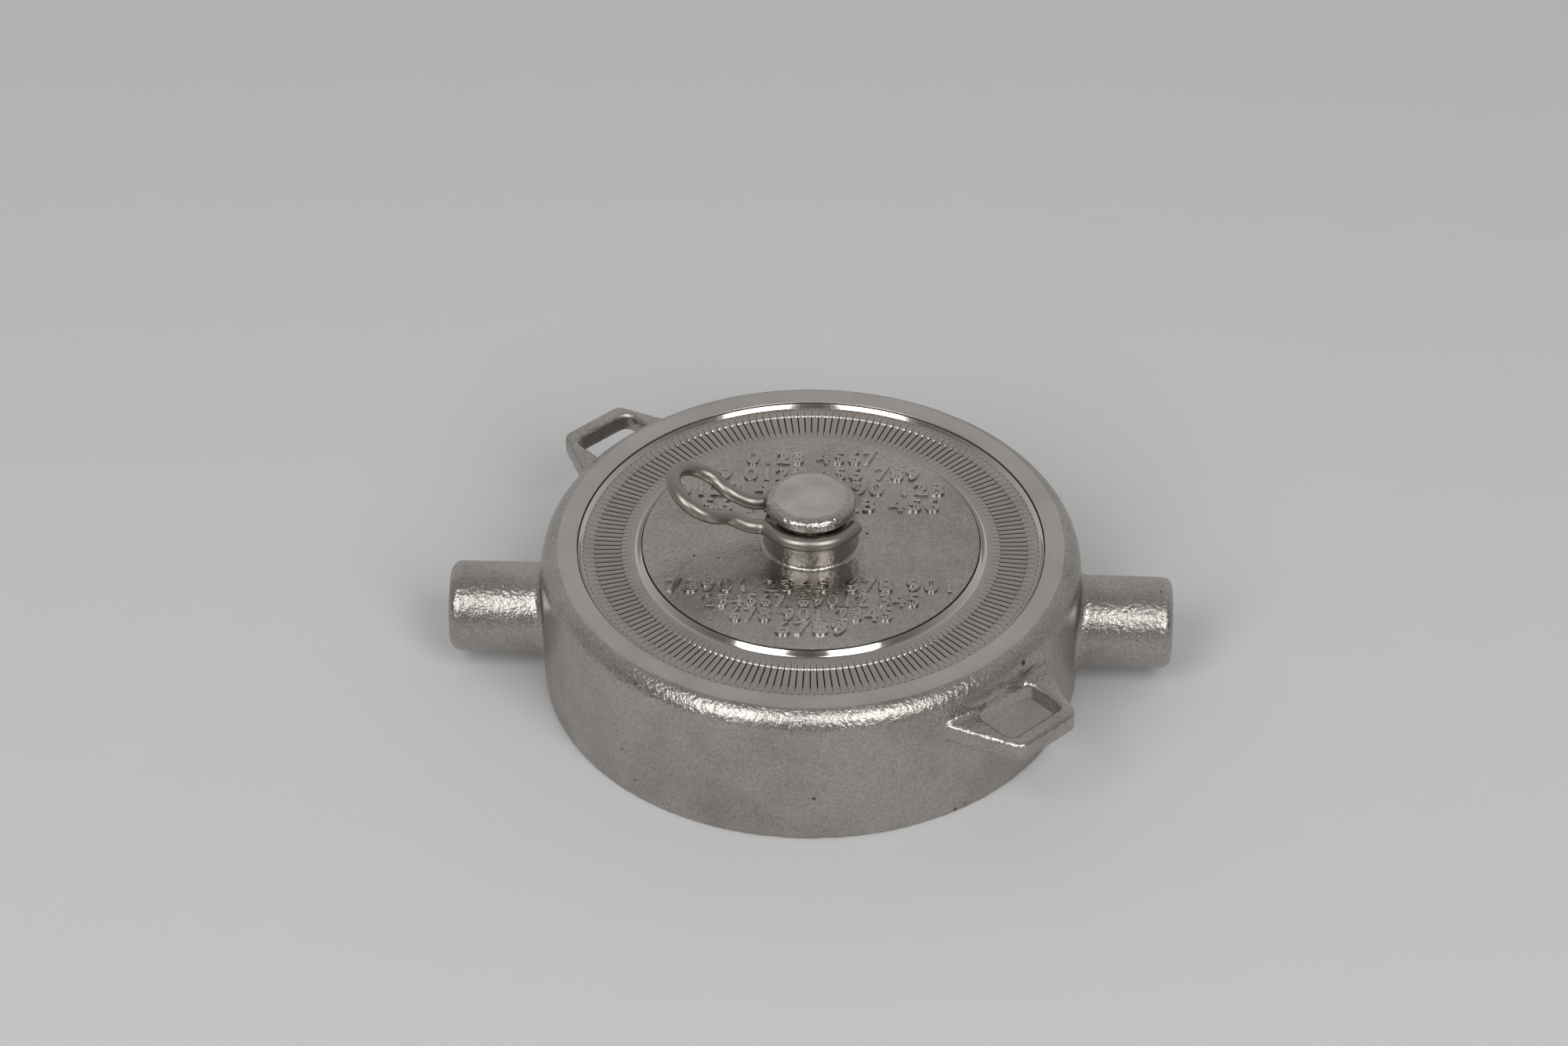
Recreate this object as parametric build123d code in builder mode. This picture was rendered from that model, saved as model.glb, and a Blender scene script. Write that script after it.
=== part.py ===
"""Low-profile pressure relief vent with a steam-jacketed cast body.

Millimetres. +Z is up and runs along the valve stem, +X runs along the two jacket stubs.
The origin is the centre of the body's bottom face.
"""

from math import atan2, cos, degrees, radians, sin, sqrt, tan
import os

from build123d import *

os.makedirs("parts", exist_ok=True)

# Fits and clearances
SLIP = 0.05  # radial clearance of a hole round its bolt, stem or bush
GAP = 0.3  # space between faces that only stand near each other
CUT_MARGIN = 1.0  # cuts start this far outside the metal
POSITION_TOL = 0.01  # for choosing edges by where they are

# Body casting
BODY_R = 76.2
LAND_Z = 43.5
LAND_R_OUTER = 71.8
LAND_R_INNER = 65.8
WALL_TOP_Z = 36.6  # where the straight wall meets the cast round
WALL_ROUND_R = 7.4
FOOT_CHAMFER = 0.8
LEDGE_Z = 40.3  # the screen's outer rim rests here
CHAMBER_R = 62.0
DECK_Z_LOW = 12.0
DECK_Z_TOP = 17.0

# Bottom socket, tapped for a 3 in pipe nozzle
SOCKET_R = 42.6
SOCKET_CHAMFER = 1.2
SOCKET_THREAD_TOP_Z = 10.4
SOCKET_RELIEF_R = 43.4  # run-out groove above the thread, which also holds the gasket
GASKET_R_INNER = 37.0
GASKET_H = 1.5

# Steam jacket inside the wall, and its two ports
JACKET_R_INNER = 64.5
JACKET_R_OUTER = 73.2
JACKET_Z_LOW = 4.0
JACKET_Z_TOP = 36.0
JACKET_LIP = 0.6  # the cover ring is this much wider than the jacket on both sides
JACKET_COVER_LOW_Z = 0.2
PORT_BORE_OVERLAP = 3.0  # the port's bore runs this far into the jacket
STUB_R = 13.05
STUB_Z = 17.6
STUB_END_X = 102.5
STUB_END_ROUND = 2.8
STUB_ROOT_ROUND = 2.5
PORT_THREAD_R = 7.35
PORT_THREAD_LENGTH = 16.0
PORT_BORE_R = 5.5

# Window lugs, in the lug's own plane: u points outwards, v runs across
LUG_ANGLES = (-45.0, 135.0)
LUG_Z = 28.1
LUG_THICKNESS = 6.3
LUG_ROOT_U = 72.0
LUG_ROOT_HALF = 20.4
LUG_END_HALF = 10.6
LUG_END_U = 95.1
LUG_CORNER_R = 2.6
LUG_EDGE_ROUND = 0.8
WINDOW_START_U = 76.6
WINDOW_END_U = 90.2
WINDOW_HALF = 9.8
WINDOW_CORNER_R = 2.4

# Seat ring in the deck
SEAT_BORE_R = 31.75
SEAT_R = 36.0
SEAT_FLANGE_R = 39.0
SEAT_FLANGE_TOP_Z = 19.0
SEAT_LIP_R_INNER = 32.2
SEAT_LIP_R_OUTER = 34.0
SEAT_LIP_FOOT = 1.0
SEAT_LIP_BEVEL = 0.5
SEAT_TOP_Z = 20.15
SEAT_ORING_R = 0.9
SEAT_ORING_Z = 14.6

# Cover disc
COVER_R = 47.4
COVER_TOP_Z = 44.2
COVER_PLATE_Z = 40.2
COVER_FLANGE_R = 53.0
COVER_FLANGE_R_INNER = 44.0
COVER_FLANGE_LOW_Z = 34.0
BOSS_R = 13.2
BOSS_TOP_Z = 51.3
BOSS_ROOT_ROUND = 1.2
BOSS_SKIRT_R = 13.6
BOSS_SKIRT_LOW_Z = 36.0
SPRING_POCKET_R = 10.6
SPRING_POCKET_TOP_Z = 48.8
COVER_EDGE_ROUND = 0.4

# Cover fastening
COVER_SCREW_COUNT = 4
COVER_SCREW_START = 45.0
COVER_SCREW_PITCH_R = 49.0
COVER_SCREW_R = 2.5
COVER_SCREW_HEAD_R = 4.25
COVER_SCREW_HEAD_H = 5.0
COVER_SCREW_SOCKET_AF = 4.0
COVER_SCREW_SOCKET_DEPTH = 2.5
COVER_SCREW_TOP_Z = 39.4
COUNTERBORE_R = 4.5
COUNTERBORE_DEPTH = 6.0
SPACER_R = 4.0

# Slotted screen: a dished ring whose two lips slope down to the slotted floor
SCREEN_R_INNER = 47.7
SCREEN_R_OUTER = 65.5
SCREEN_FLOOR_Z = 42.0
INNER_LIP_Z = 43.9
OUTER_LIP_Z = 43.2
LIP_SLOPE = 50.0
COVE_R = 2.2  # where the inner lip runs out into the floor
BAND_R_INNER = 53.4
BAND_R_OUTER = 60.9
BAND_DEPTH = 0.25
SLOT_COUNT = 190
SLOT_WIDTH = 0.58
SLOT_R_INNER = 51.0
SLOT_R_OUTER = 63.8

# Stem guide, wiper and spring
STEM_R = 5.0
BUSH_R = 7.0
BUSH_LOW_Z = 40.0
BUSH_TOP_Z = 49.9
BUSH_FLANGE_R = 10.2
BUSH_FLANGE_H = 1.2
WIPER_TOP_Z = 51.0
WASHER_H = 1.2
SPRING_MEAN_R = 8.4
SPRING_WIRE_R = 1.1
SPRING_TURNS = 4
SPRING_SEAT_R = 11.0

# Poppet and its seal
POPPET_R = 37.5
POPPET_LOW_Z = 22.2
POPPET_TOP_Z = 25.2
POPPET_EDGE_CHAMFER = 1.0
POPPET_HUB_R = 13.0
POPPET_HUB_TOP_Z = 27.2
POPPET_CORE_R = 27.0
SEAL_R_OUTER = 36.5
SEAL_LOW_Z = 20.2
RETAINER_R = 30.8
RETAINER_H = 2.0
RETAINER_SCREW_COUNT = 6
RETAINER_SCREW_PITCH_R = 18.0
RETAINER_SCREW_R = 2.0
RETAINER_SCREW_HEAD_R = 3.5
RETAINER_SCREW_HEAD_H = 2.4
RETAINER_SCREW_TOP_Z = 24.2
RETAINER_SCREW_SOCKET_AF = 2.5
RETAINER_SCREW_SOCKET_DEPTH = 1.4

# Stem end, nut and cotter pin
STEM_TAIL_R = 4.0
STEM_LOW_Z = 10.7
STEM_TOP_Z = 58.2
STEM_END_CHAMFER = 0.6
STEM_WASHER_R = 9.0
STEM_WASHER_H = 1.6
NUT_ACROSS_FLATS = 13.0
NUT_HEIGHT = 5.4
NUT_SLOT_WIDTH = 2.0
NUT_SLOT_DEPTH = 2.2
COTTER_R = 0.8
COTTER_LENGTH = 19.0
COTTER_EYE_R = 2.2

# Knob
KNOB_R = 12.75
KNOB_LOW_Z = 56.5
KNOB_TOP_Z = 60.2
KNOB_TOP_ROUND = 1.5
KNOB_UNDER_ROUND = 0.5
NECK_R = 11.2
NECK_LOW_Z = 51.6
KNOB_PIN_R = 1.25
KNOB_PIN_Z = 54.0
KNOB_PIN_LENGTH = 21.0

# Wire clip round the knob's neck, with a finger loop that is bent up
CLIP_WIRE_R = 2.1
CLIP_Z = 53.55
CLIP_R = 13.5  # radius of the jaws' centre line
CLIP_MOUTH_ANGLE = 24.0  # half the opening between the two ends
CLIP_LEG_HALF = 5.5
CLIP_NECK_BEND_R = 4.0
CLIP_TILT = 30.0
CLIP_TILT_BEND_R = 8.0
CLIP_BEND_X = -16.9
CLIP_TURN = 2.0  # how far the clip is turned about the stem at rest
LOOP_R = 9.3
LOOP_CENTRE_S = 15.4  # distance of the loop's centre from the bend, along the tilted plane
LOOP_FLARE_R = 8.0


def ring_of_holes(radius, pitch_radius, count, low_z, top_z, start=0.0):
    """Cut a circle of round holes from low_z to top_z in the part being built."""
    with BuildSketch(Plane.XY.offset(low_z)) as holes:
        with PolarLocations(pitch_radius, count, start):
            Circle(radius)
    extrude(holes.sketch, amount=top_z - low_z, mode=Mode.SUBTRACT)


def washer(low_z, height, outer_r, inner_r):
    """Add a flat ring to the part being built."""
    with BuildSketch(Plane.XY.offset(low_z)) as face:
        Circle(outer_r)
        Circle(inner_r, mode=Mode.SUBTRACT)
    extrude(face.sketch, amount=height)


def socket_screw(shank_r, head_r, head_h, low_z, top_z, socket_af, socket_depth):
    """Add a socket head screw, head down, to the part being built."""
    with BuildSketch(Plane.XY.offset(low_z)) as head:
        Circle(head_r)
    extrude(head.sketch, amount=head_h)
    with BuildSketch(Plane.XY.offset(low_z + head_h)) as shank:
        Circle(shank_r)
    extrude(shank.sketch, amount=top_z - low_z - head_h)
    with BuildSketch(Plane.XY.offset(low_z)) as key_socket:
        RegularPolygon(socket_af / 2, 6, major_radius=False)
    extrude(key_socket.sketch, amount=socket_depth, mode=Mode.SUBTRACT)


# ---- Window lug, made along +X and placed twice on the body --------------------------

with BuildPart() as window_lug:
    with BuildSketch(Plane.XY.offset(LUG_Z)) as lug_outline:
        with BuildLine():
            Polyline(
                (LUG_ROOT_U, -LUG_ROOT_HALF),
                (LUG_END_U, -LUG_END_HALF),
                (LUG_END_U, LUG_END_HALF),
                (LUG_ROOT_U, LUG_ROOT_HALF),
                close=True,
            )
        make_face()
        fillet(lug_outline.vertices().group_by(Axis.X)[-1], LUG_CORNER_R)
        with Locations(((WINDOW_START_U + WINDOW_END_U) / 2, 0)):
            RectangleRounded(
                WINDOW_END_U - WINDOW_START_U, 2 * WINDOW_HALF, WINDOW_CORNER_R, mode=Mode.SUBTRACT
            )
    extrude(amount=LUG_THICKNESS)
    fillet(window_lug.edges().group_by(Axis.Z)[0], LUG_EDGE_ROUND)
    fillet(window_lug.edges().group_by(Axis.Z)[-1], LUG_EDGE_ROUND)

# ---- Body casting -------------------------------------------------------------------

with BuildPart() as body_casting:
    with BuildSketch(Plane.XZ):
        with BuildLine():
            Polyline(
                (LAND_R_OUTER, LAND_Z),
                (0, LAND_Z),
                (0, 0),
                (BODY_R - FOOT_CHAMFER, 0),
                (BODY_R, FOOT_CHAMFER),
                (BODY_R, WALL_TOP_Z),
            )
            RadiusArc((BODY_R, WALL_TOP_Z), (LAND_R_OUTER, LAND_Z), -WALL_ROUND_R)
        make_face()
    revolve(axis=Axis.Z)
    with BuildSketch(Plane.YZ.offset(-STUB_END_X)):
        with Locations((0, STUB_Z)):
            Circle(STUB_R)
    extrude(amount=2 * STUB_END_X)
    stub_ends = body_casting.edges().filter_by(GeomType.CIRCLE).filter_by(
        lambda edge: abs(abs(edge.center().X) - STUB_END_X) < POSITION_TOL
    )
    fillet(stub_ends, STUB_END_ROUND)
    stub_roots = body_casting.edges().filter_by(
        lambda edge: 0.9 * BODY_R < abs(edge.center().X) < BODY_R + 1
        and abs(edge.center().Z - STUB_Z) < 1
        and edge.bounding_box().size.Y > STUB_R
    )
    fillet(stub_roots, STUB_ROOT_ROUND)
    for angle in LUG_ANGLES:
        with Locations(Rotation(0, 0, angle)):
            add(window_lug.part)
    with BuildSketch(Plane.XZ):
        with BuildLine():
            Polyline(
                (0, -CUT_MARGIN),
                (SOCKET_R + SOCKET_CHAMFER, -CUT_MARGIN),
                (SOCKET_R + SOCKET_CHAMFER, 0),
                (SOCKET_R, SOCKET_CHAMFER),
                (SOCKET_R, SOCKET_THREAD_TOP_Z),
                (SOCKET_RELIEF_R, SOCKET_THREAD_TOP_Z),
                (SOCKET_RELIEF_R, DECK_Z_LOW),
                (SEAT_R, DECK_Z_LOW),
                (SEAT_R, DECK_Z_TOP),
                (CHAMBER_R, DECK_Z_TOP),
                (CHAMBER_R, LEDGE_Z),
                (LAND_R_INNER, LEDGE_Z),
                (LAND_R_INNER, LAND_Z + CUT_MARGIN),
                (0, LAND_Z + CUT_MARGIN),
                close=True,
            )
        make_face()
    revolve(axis=Axis.Z, mode=Mode.SUBTRACT)
    with BuildSketch(Plane.XZ):
        with BuildLine():
            Polyline(
                (JACKET_R_INNER - JACKET_LIP, -CUT_MARGIN),
                (JACKET_R_OUTER + JACKET_LIP, -CUT_MARGIN),
                (JACKET_R_OUTER + JACKET_LIP, JACKET_Z_LOW),
                (JACKET_R_OUTER, JACKET_Z_LOW),
                (JACKET_R_OUTER, JACKET_Z_TOP),
                (JACKET_R_INNER, JACKET_Z_TOP),
                (JACKET_R_INNER, JACKET_Z_LOW),
                (JACKET_R_INNER - JACKET_LIP, JACKET_Z_LOW),
                close=True,
            )
        make_face()
    revolve(axis=Axis.Z, mode=Mode.SUBTRACT)
    for side in (-1, 1):
        with BuildSketch(Plane.YZ.offset(side * STUB_END_X)):
            with Locations((0, STUB_Z)):
                Circle(PORT_THREAD_R)
        extrude(amount=-side * PORT_THREAD_LENGTH, mode=Mode.SUBTRACT)
        with BuildSketch(Plane.YZ.offset(side * STUB_END_X)):
            with Locations((0, STUB_Z)):
                Circle(PORT_BORE_R)
        extrude(amount=-side * (STUB_END_X - JACKET_R_OUTER + PORT_BORE_OVERLAP), mode=Mode.SUBTRACT)
    ring_of_holes(
        COUNTERBORE_R, COVER_SCREW_PITCH_R, COVER_SCREW_COUNT, 0, COUNTERBORE_DEPTH, COVER_SCREW_START
    )
    ring_of_holes(
        COVER_SCREW_R + SLIP,
        COVER_SCREW_PITCH_R,
        COVER_SCREW_COUNT,
        COUNTERBORE_DEPTH,
        DECK_Z_TOP,
        COVER_SCREW_START,
    )
body_casting.part.label = "body_casting"
export_step(body_casting.part, "parts/body_casting.step")

with BuildPart() as jacket_cover_ring:
    washer(
        JACKET_COVER_LOW_Z,
        JACKET_Z_LOW - JACKET_COVER_LOW_Z,
        JACKET_R_OUTER + JACKET_LIP,
        JACKET_R_INNER - JACKET_LIP,
    )
jacket_cover_ring.part.label = "jacket_cover_ring"
export_step(jacket_cover_ring.part, "parts/jacket_cover_ring.step")

with BuildPart() as inlet_gasket:
    washer(DECK_Z_LOW - GASKET_H, GASKET_H, SOCKET_RELIEF_R - GAP, GASKET_R_INNER)
inlet_gasket.part.label = "inlet_gasket"
export_step(inlet_gasket.part, "parts/inlet_gasket.step")

# ---- Seat ---------------------------------------------------------------------------

with BuildPart() as seat_ring:
    with BuildSketch(Plane.XZ):
        with BuildLine():
            Polyline(
                (SEAT_BORE_R, DECK_Z_LOW),
                (SEAT_R, DECK_Z_LOW),
                (SEAT_R, SEAT_ORING_Z - SEAT_ORING_R),
                (SEAT_R - 2 * SEAT_ORING_R, SEAT_ORING_Z - SEAT_ORING_R),
                (SEAT_R - 2 * SEAT_ORING_R, SEAT_ORING_Z + SEAT_ORING_R),
                (SEAT_R, SEAT_ORING_Z + SEAT_ORING_R),
                (SEAT_R, DECK_Z_TOP),
                (SEAT_FLANGE_R, DECK_Z_TOP),
                (SEAT_FLANGE_R, SEAT_FLANGE_TOP_Z),
                (SEAT_LIP_R_OUTER + SEAT_LIP_FOOT, SEAT_FLANGE_TOP_Z),
                (SEAT_LIP_R_OUTER, SEAT_TOP_Z),
                (SEAT_LIP_R_INNER, SEAT_TOP_Z),
                (SEAT_BORE_R, SEAT_TOP_Z - SEAT_LIP_BEVEL),
                close=True,
            )
        make_face()
    revolve(axis=Axis.Z)
seat_ring.part.label = "seat_ring"
export_step(seat_ring.part, "parts/seat_ring.step")

with BuildPart() as seat_o_ring:
    with BuildSketch(Plane.XZ):
        with Locations((SEAT_R - SEAT_ORING_R, SEAT_ORING_Z)):
            Circle(SEAT_ORING_R)
    revolve(axis=Axis.Z)
seat_o_ring.part.label = "seat_o_ring"
export_step(seat_o_ring.part, "parts/seat_o_ring.step")

# ---- Cover disc with its spacers and screws -----------------------------------------

with BuildPart() as cover_disc:
    with BuildSketch(Plane.XZ):
        with BuildLine():
            Polyline(
                (0, COVER_TOP_Z),
                (0, BOSS_TOP_Z),
                (BOSS_R, BOSS_TOP_Z),
                (BOSS_R, COVER_TOP_Z + BOSS_ROOT_ROUND),
            )
            RadiusArc(
                (BOSS_R, COVER_TOP_Z + BOSS_ROOT_ROUND),
                (BOSS_R + BOSS_ROOT_ROUND, COVER_TOP_Z),
                -BOSS_ROOT_ROUND,
            )
            Polyline(
                (BOSS_R + BOSS_ROOT_ROUND, COVER_TOP_Z),
                (COVER_R - COVER_EDGE_ROUND, COVER_TOP_Z),
                (COVER_R, COVER_TOP_Z - COVER_EDGE_ROUND),
                (COVER_R, LEDGE_Z),
                (COVER_FLANGE_R, LEDGE_Z),
                (COVER_FLANGE_R, COVER_FLANGE_LOW_Z),
                (COVER_FLANGE_R_INNER, COVER_FLANGE_LOW_Z),
                (COVER_FLANGE_R_INNER, COVER_PLATE_Z),
                (BOSS_SKIRT_R, COVER_PLATE_Z),
                (BOSS_SKIRT_R, BOSS_SKIRT_LOW_Z),
                (0, BOSS_SKIRT_LOW_Z),
                (0, COVER_TOP_Z),
            )
        make_face()
    revolve(axis=Axis.Z)
    ring_of_holes(SPRING_POCKET_R, 0, 1, BOSS_SKIRT_LOW_Z, SPRING_POCKET_TOP_Z)
    ring_of_holes(BUSH_R, 0, 1, SPRING_POCKET_TOP_Z, BOSS_TOP_Z)
    ring_of_holes(
        COVER_SCREW_R + SLIP,
        COVER_SCREW_PITCH_R,
        COVER_SCREW_COUNT,
        COVER_FLANGE_LOW_Z,
        COVER_SCREW_TOP_Z + GAP,
        COVER_SCREW_START,
    )
cover_disc.part.label = "cover_disc"
export_step(cover_disc.part, "parts/cover_disc.step")

with BuildPart() as cover_spacers:
    with BuildSketch(Plane.XY.offset(DECK_Z_TOP)):
        with PolarLocations(COVER_SCREW_PITCH_R, COVER_SCREW_COUNT, COVER_SCREW_START):
            Circle(SPACER_R)
            Circle(COVER_SCREW_R + SLIP, mode=Mode.SUBTRACT)
    extrude(amount=COVER_FLANGE_LOW_Z - DECK_Z_TOP)
cover_spacers.part.label = "cover_spacers"
export_step(cover_spacers.part, "parts/cover_spacers.step")

with BuildPart() as cover_screw:
    socket_screw(
        COVER_SCREW_R,
        COVER_SCREW_HEAD_R,
        COVER_SCREW_HEAD_H,
        COUNTERBORE_DEPTH - COVER_SCREW_HEAD_H,
        COVER_SCREW_TOP_Z,
        COVER_SCREW_SOCKET_AF,
        COVER_SCREW_SOCKET_DEPTH,
    )
with BuildPart() as cover_screws:
    with PolarLocations(COVER_SCREW_PITCH_R, COVER_SCREW_COUNT, COVER_SCREW_START):
        add(cover_screw.part)
cover_screws.part.label = "cover_screws"
export_step(cover_screws.part, "parts/cover_screws.step")

# ---- Slotted screen -----------------------------------------------------------------

inner_lip_foot_r = SCREEN_R_INNER + (INNER_LIP_Z - SCREEN_FLOOR_Z) / tan(radians(LIP_SLOPE))
outer_lip_foot_r = SCREEN_R_OUTER - (OUTER_LIP_Z - SCREEN_FLOOR_Z) / tan(radians(LIP_SLOPE))

with BuildPart() as screen_ring:
    with BuildSketch(Plane.XZ) as screen_profile:
        with BuildLine():
            Polyline(
                (SCREEN_R_INNER, LEDGE_Z),
                (SCREEN_R_OUTER, LEDGE_Z),
                (SCREEN_R_OUTER, OUTER_LIP_Z),
                (outer_lip_foot_r, SCREEN_FLOOR_Z),
                (BAND_R_OUTER, SCREEN_FLOOR_Z),
                (BAND_R_OUTER, SCREEN_FLOOR_Z - BAND_DEPTH),
                (BAND_R_INNER, SCREEN_FLOOR_Z - BAND_DEPTH),
                (BAND_R_INNER, SCREEN_FLOOR_Z),
                (inner_lip_foot_r, SCREEN_FLOOR_Z),
                (SCREEN_R_INNER, INNER_LIP_Z),
                close=True,
            )
        make_face()
        cove_corner = screen_profile.vertices().sort_by_distance((inner_lip_foot_r, 0, SCREEN_FLOOR_Z))
        fillet(cove_corner[0], COVE_R)
    revolve(axis=Axis.Z)
    with BuildSketch(Plane.XY.offset(LEDGE_Z)):
        with PolarLocations((SLOT_R_INNER + SLOT_R_OUTER) / 2, SLOT_COUNT):
            SlotOverall(SLOT_R_OUTER - SLOT_R_INNER, SLOT_WIDTH)
    extrude(amount=SCREEN_FLOOR_Z - LEDGE_Z, mode=Mode.SUBTRACT)
screen_ring.part.label = "screen_ring"
export_step(screen_ring.part, "parts/screen_ring.step")

# ---- Stem guide and spring ----------------------------------------------------------

BUSH_FLANGE_LOW_Z = SPRING_POCKET_TOP_Z - BUSH_FLANGE_H
SPRING_TOP_Z = BUSH_FLANGE_LOW_Z - WASHER_H
SPRING_LOW_Z = POPPET_HUB_TOP_Z + WASHER_H

with BuildPart() as guide_bush:
    washer(BUSH_LOW_Z, BUSH_TOP_Z - BUSH_LOW_Z, BUSH_R - SLIP / 2, STEM_R + SLIP)
    washer(BUSH_FLANGE_LOW_Z, BUSH_FLANGE_H, BUSH_FLANGE_R, STEM_R + SLIP)
guide_bush.part.label = "guide_bush"
export_step(guide_bush.part, "parts/guide_bush.step")

with BuildPart() as stem_wiper:
    washer(BUSH_TOP_Z, WIPER_TOP_Z - BUSH_TOP_Z, BUSH_R - SLIP / 2, STEM_R + 2 * SLIP)
stem_wiper.part.label = "stem_wiper"
export_step(stem_wiper.part, "parts/stem_wiper.step")

with BuildPart() as spring_washer:
    washer(SPRING_TOP_Z, WASHER_H, BUSH_FLANGE_R, BUSH_R + SLIP)
spring_washer.part.label = "spring_washer"
export_step(spring_washer.part, "parts/spring_washer.step")

with BuildPart() as relief_spring:
    spring_height = SPRING_TOP_Z - SPRING_LOW_Z
    with BuildLine(Plane.XY.offset(SPRING_LOW_Z)) as spring_coil:
        Helix(spring_height / SPRING_TURNS, spring_height, SPRING_MEAN_R)
    with BuildSketch(Plane(origin=spring_coil.line @ 0, z_dir=spring_coil.line % 0)):
        Circle(SPRING_WIRE_R)
    sweep(path=spring_coil.line, is_frenet=True)
    split(bisect_by=Plane.XY.offset(SPRING_LOW_Z), keep=Keep.TOP)
    split(bisect_by=Plane.XY.offset(SPRING_TOP_Z), keep=Keep.BOTTOM)
relief_spring.part.label = "relief_spring"
export_step(relief_spring.part, "parts/relief_spring.step")

with BuildPart() as spring_seat:
    washer(POPPET_HUB_TOP_Z, WASHER_H, SPRING_SEAT_R, STEM_R + SLIP)
spring_seat.part.label = "spring_seat"
export_step(spring_seat.part, "parts/spring_seat.step")

# ---- Poppet and its seal ------------------------------------------------------------

with BuildPart() as poppet:
    with BuildSketch(Plane.XZ):
        with BuildLine():
            Polyline(
                (STEM_TAIL_R + SLIP, SEAL_LOW_Z),
                (POPPET_CORE_R, SEAL_LOW_Z),
                (POPPET_CORE_R, POPPET_LOW_Z),
                (POPPET_R, POPPET_LOW_Z),
                (POPPET_R, POPPET_TOP_Z - POPPET_EDGE_CHAMFER),
                (POPPET_R - POPPET_EDGE_CHAMFER, POPPET_TOP_Z),
                (POPPET_HUB_R, POPPET_TOP_Z),
                (POPPET_HUB_R, POPPET_HUB_TOP_Z),
                (STEM_TAIL_R + SLIP, POPPET_HUB_TOP_Z),
                close=True,
            )
        make_face()
    revolve(axis=Axis.Z)
    ring_of_holes(
        RETAINER_SCREW_R + SLIP,
        RETAINER_SCREW_PITCH_R,
        RETAINER_SCREW_COUNT,
        SEAL_LOW_Z,
        RETAINER_SCREW_TOP_Z + GAP,
    )
poppet.part.label = "poppet"
export_step(poppet.part, "parts/poppet.step")

with BuildPart() as poppet_seal:
    washer(SEAL_LOW_Z, POPPET_LOW_Z - SEAL_LOW_Z, SEAL_R_OUTER, POPPET_CORE_R)
poppet_seal.part.label = "poppet_seal"
export_step(poppet_seal.part, "parts/poppet_seal.step")

RETAINER_LOW_Z = SEAL_LOW_Z - RETAINER_H

with BuildPart() as seal_retainer:
    washer(RETAINER_LOW_Z, RETAINER_H, RETAINER_R, STEM_TAIL_R + SLIP)
    ring_of_holes(
        RETAINER_SCREW_R + SLIP,
        RETAINER_SCREW_PITCH_R,
        RETAINER_SCREW_COUNT,
        RETAINER_LOW_Z,
        SEAL_LOW_Z,
    )
seal_retainer.part.label = "seal_retainer"
export_step(seal_retainer.part, "parts/seal_retainer.step")

with BuildPart() as retainer_screw:
    socket_screw(
        RETAINER_SCREW_R,
        RETAINER_SCREW_HEAD_R,
        RETAINER_SCREW_HEAD_H,
        RETAINER_LOW_Z - RETAINER_SCREW_HEAD_H,
        RETAINER_SCREW_TOP_Z,
        RETAINER_SCREW_SOCKET_AF,
        RETAINER_SCREW_SOCKET_DEPTH,
    )
with BuildPart() as retainer_screws:
    with PolarLocations(RETAINER_SCREW_PITCH_R, RETAINER_SCREW_COUNT):
        add(retainer_screw.part)
retainer_screws.part.label = "retainer_screws"
export_step(retainer_screws.part, "parts/retainer_screws.step")

# ---- Stem, nut and cotter pin -------------------------------------------------------

STEM_WASHER_LOW_Z = RETAINER_LOW_Z - STEM_WASHER_H
NUT_LOW_Z = STEM_WASHER_LOW_Z - NUT_HEIGHT
COTTER_Z = NUT_LOW_Z + NUT_SLOT_DEPTH / 2

with BuildPart() as stem:
    with BuildSketch(Plane.XY.offset(POPPET_HUB_TOP_Z)):
        Circle(STEM_R)
    extrude(amount=STEM_TOP_Z - POPPET_HUB_TOP_Z)
    with BuildSketch(Plane.XY.offset(STEM_LOW_Z)):
        Circle(STEM_TAIL_R)
    extrude(amount=POPPET_HUB_TOP_Z - STEM_LOW_Z)
    chamfer(stem.edges().group_by(Axis.Z)[0], STEM_END_CHAMFER)
    chamfer(stem.edges().group_by(Axis.Z)[-1], STEM_END_CHAMFER)
    with BuildSketch(Plane.YZ):
        with Locations((0, COTTER_Z)):
            Circle(COTTER_R + SLIP)
        with Locations((0, KNOB_PIN_Z)):
            Circle(KNOB_PIN_R + SLIP)
    extrude(amount=KNOB_PIN_LENGTH, both=True, mode=Mode.SUBTRACT)
stem.part.label = "stem"
export_step(stem.part, "parts/stem.step")

with BuildPart() as stem_washer:
    washer(STEM_WASHER_LOW_Z, STEM_WASHER_H, STEM_WASHER_R, STEM_TAIL_R + SLIP)
stem_washer.part.label = "stem_washer"
export_step(stem_washer.part, "parts/stem_washer.step")

with BuildPart() as stem_nut:
    with BuildSketch(Plane.XY.offset(NUT_LOW_Z)):
        RegularPolygon(NUT_ACROSS_FLATS / 2, 6, major_radius=False)
        Circle(STEM_TAIL_R + SLIP, mode=Mode.SUBTRACT)
    extrude(amount=NUT_HEIGHT)
    with BuildSketch(Plane.XY.offset(NUT_LOW_Z)):
        with PolarLocations(0, 3):
            Rectangle(2 * NUT_ACROSS_FLATS, NUT_SLOT_WIDTH)
    extrude(amount=NUT_SLOT_DEPTH, mode=Mode.SUBTRACT)
stem_nut.part.label = "stem_nut"
export_step(stem_nut.part, "parts/stem_nut.step")

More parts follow.
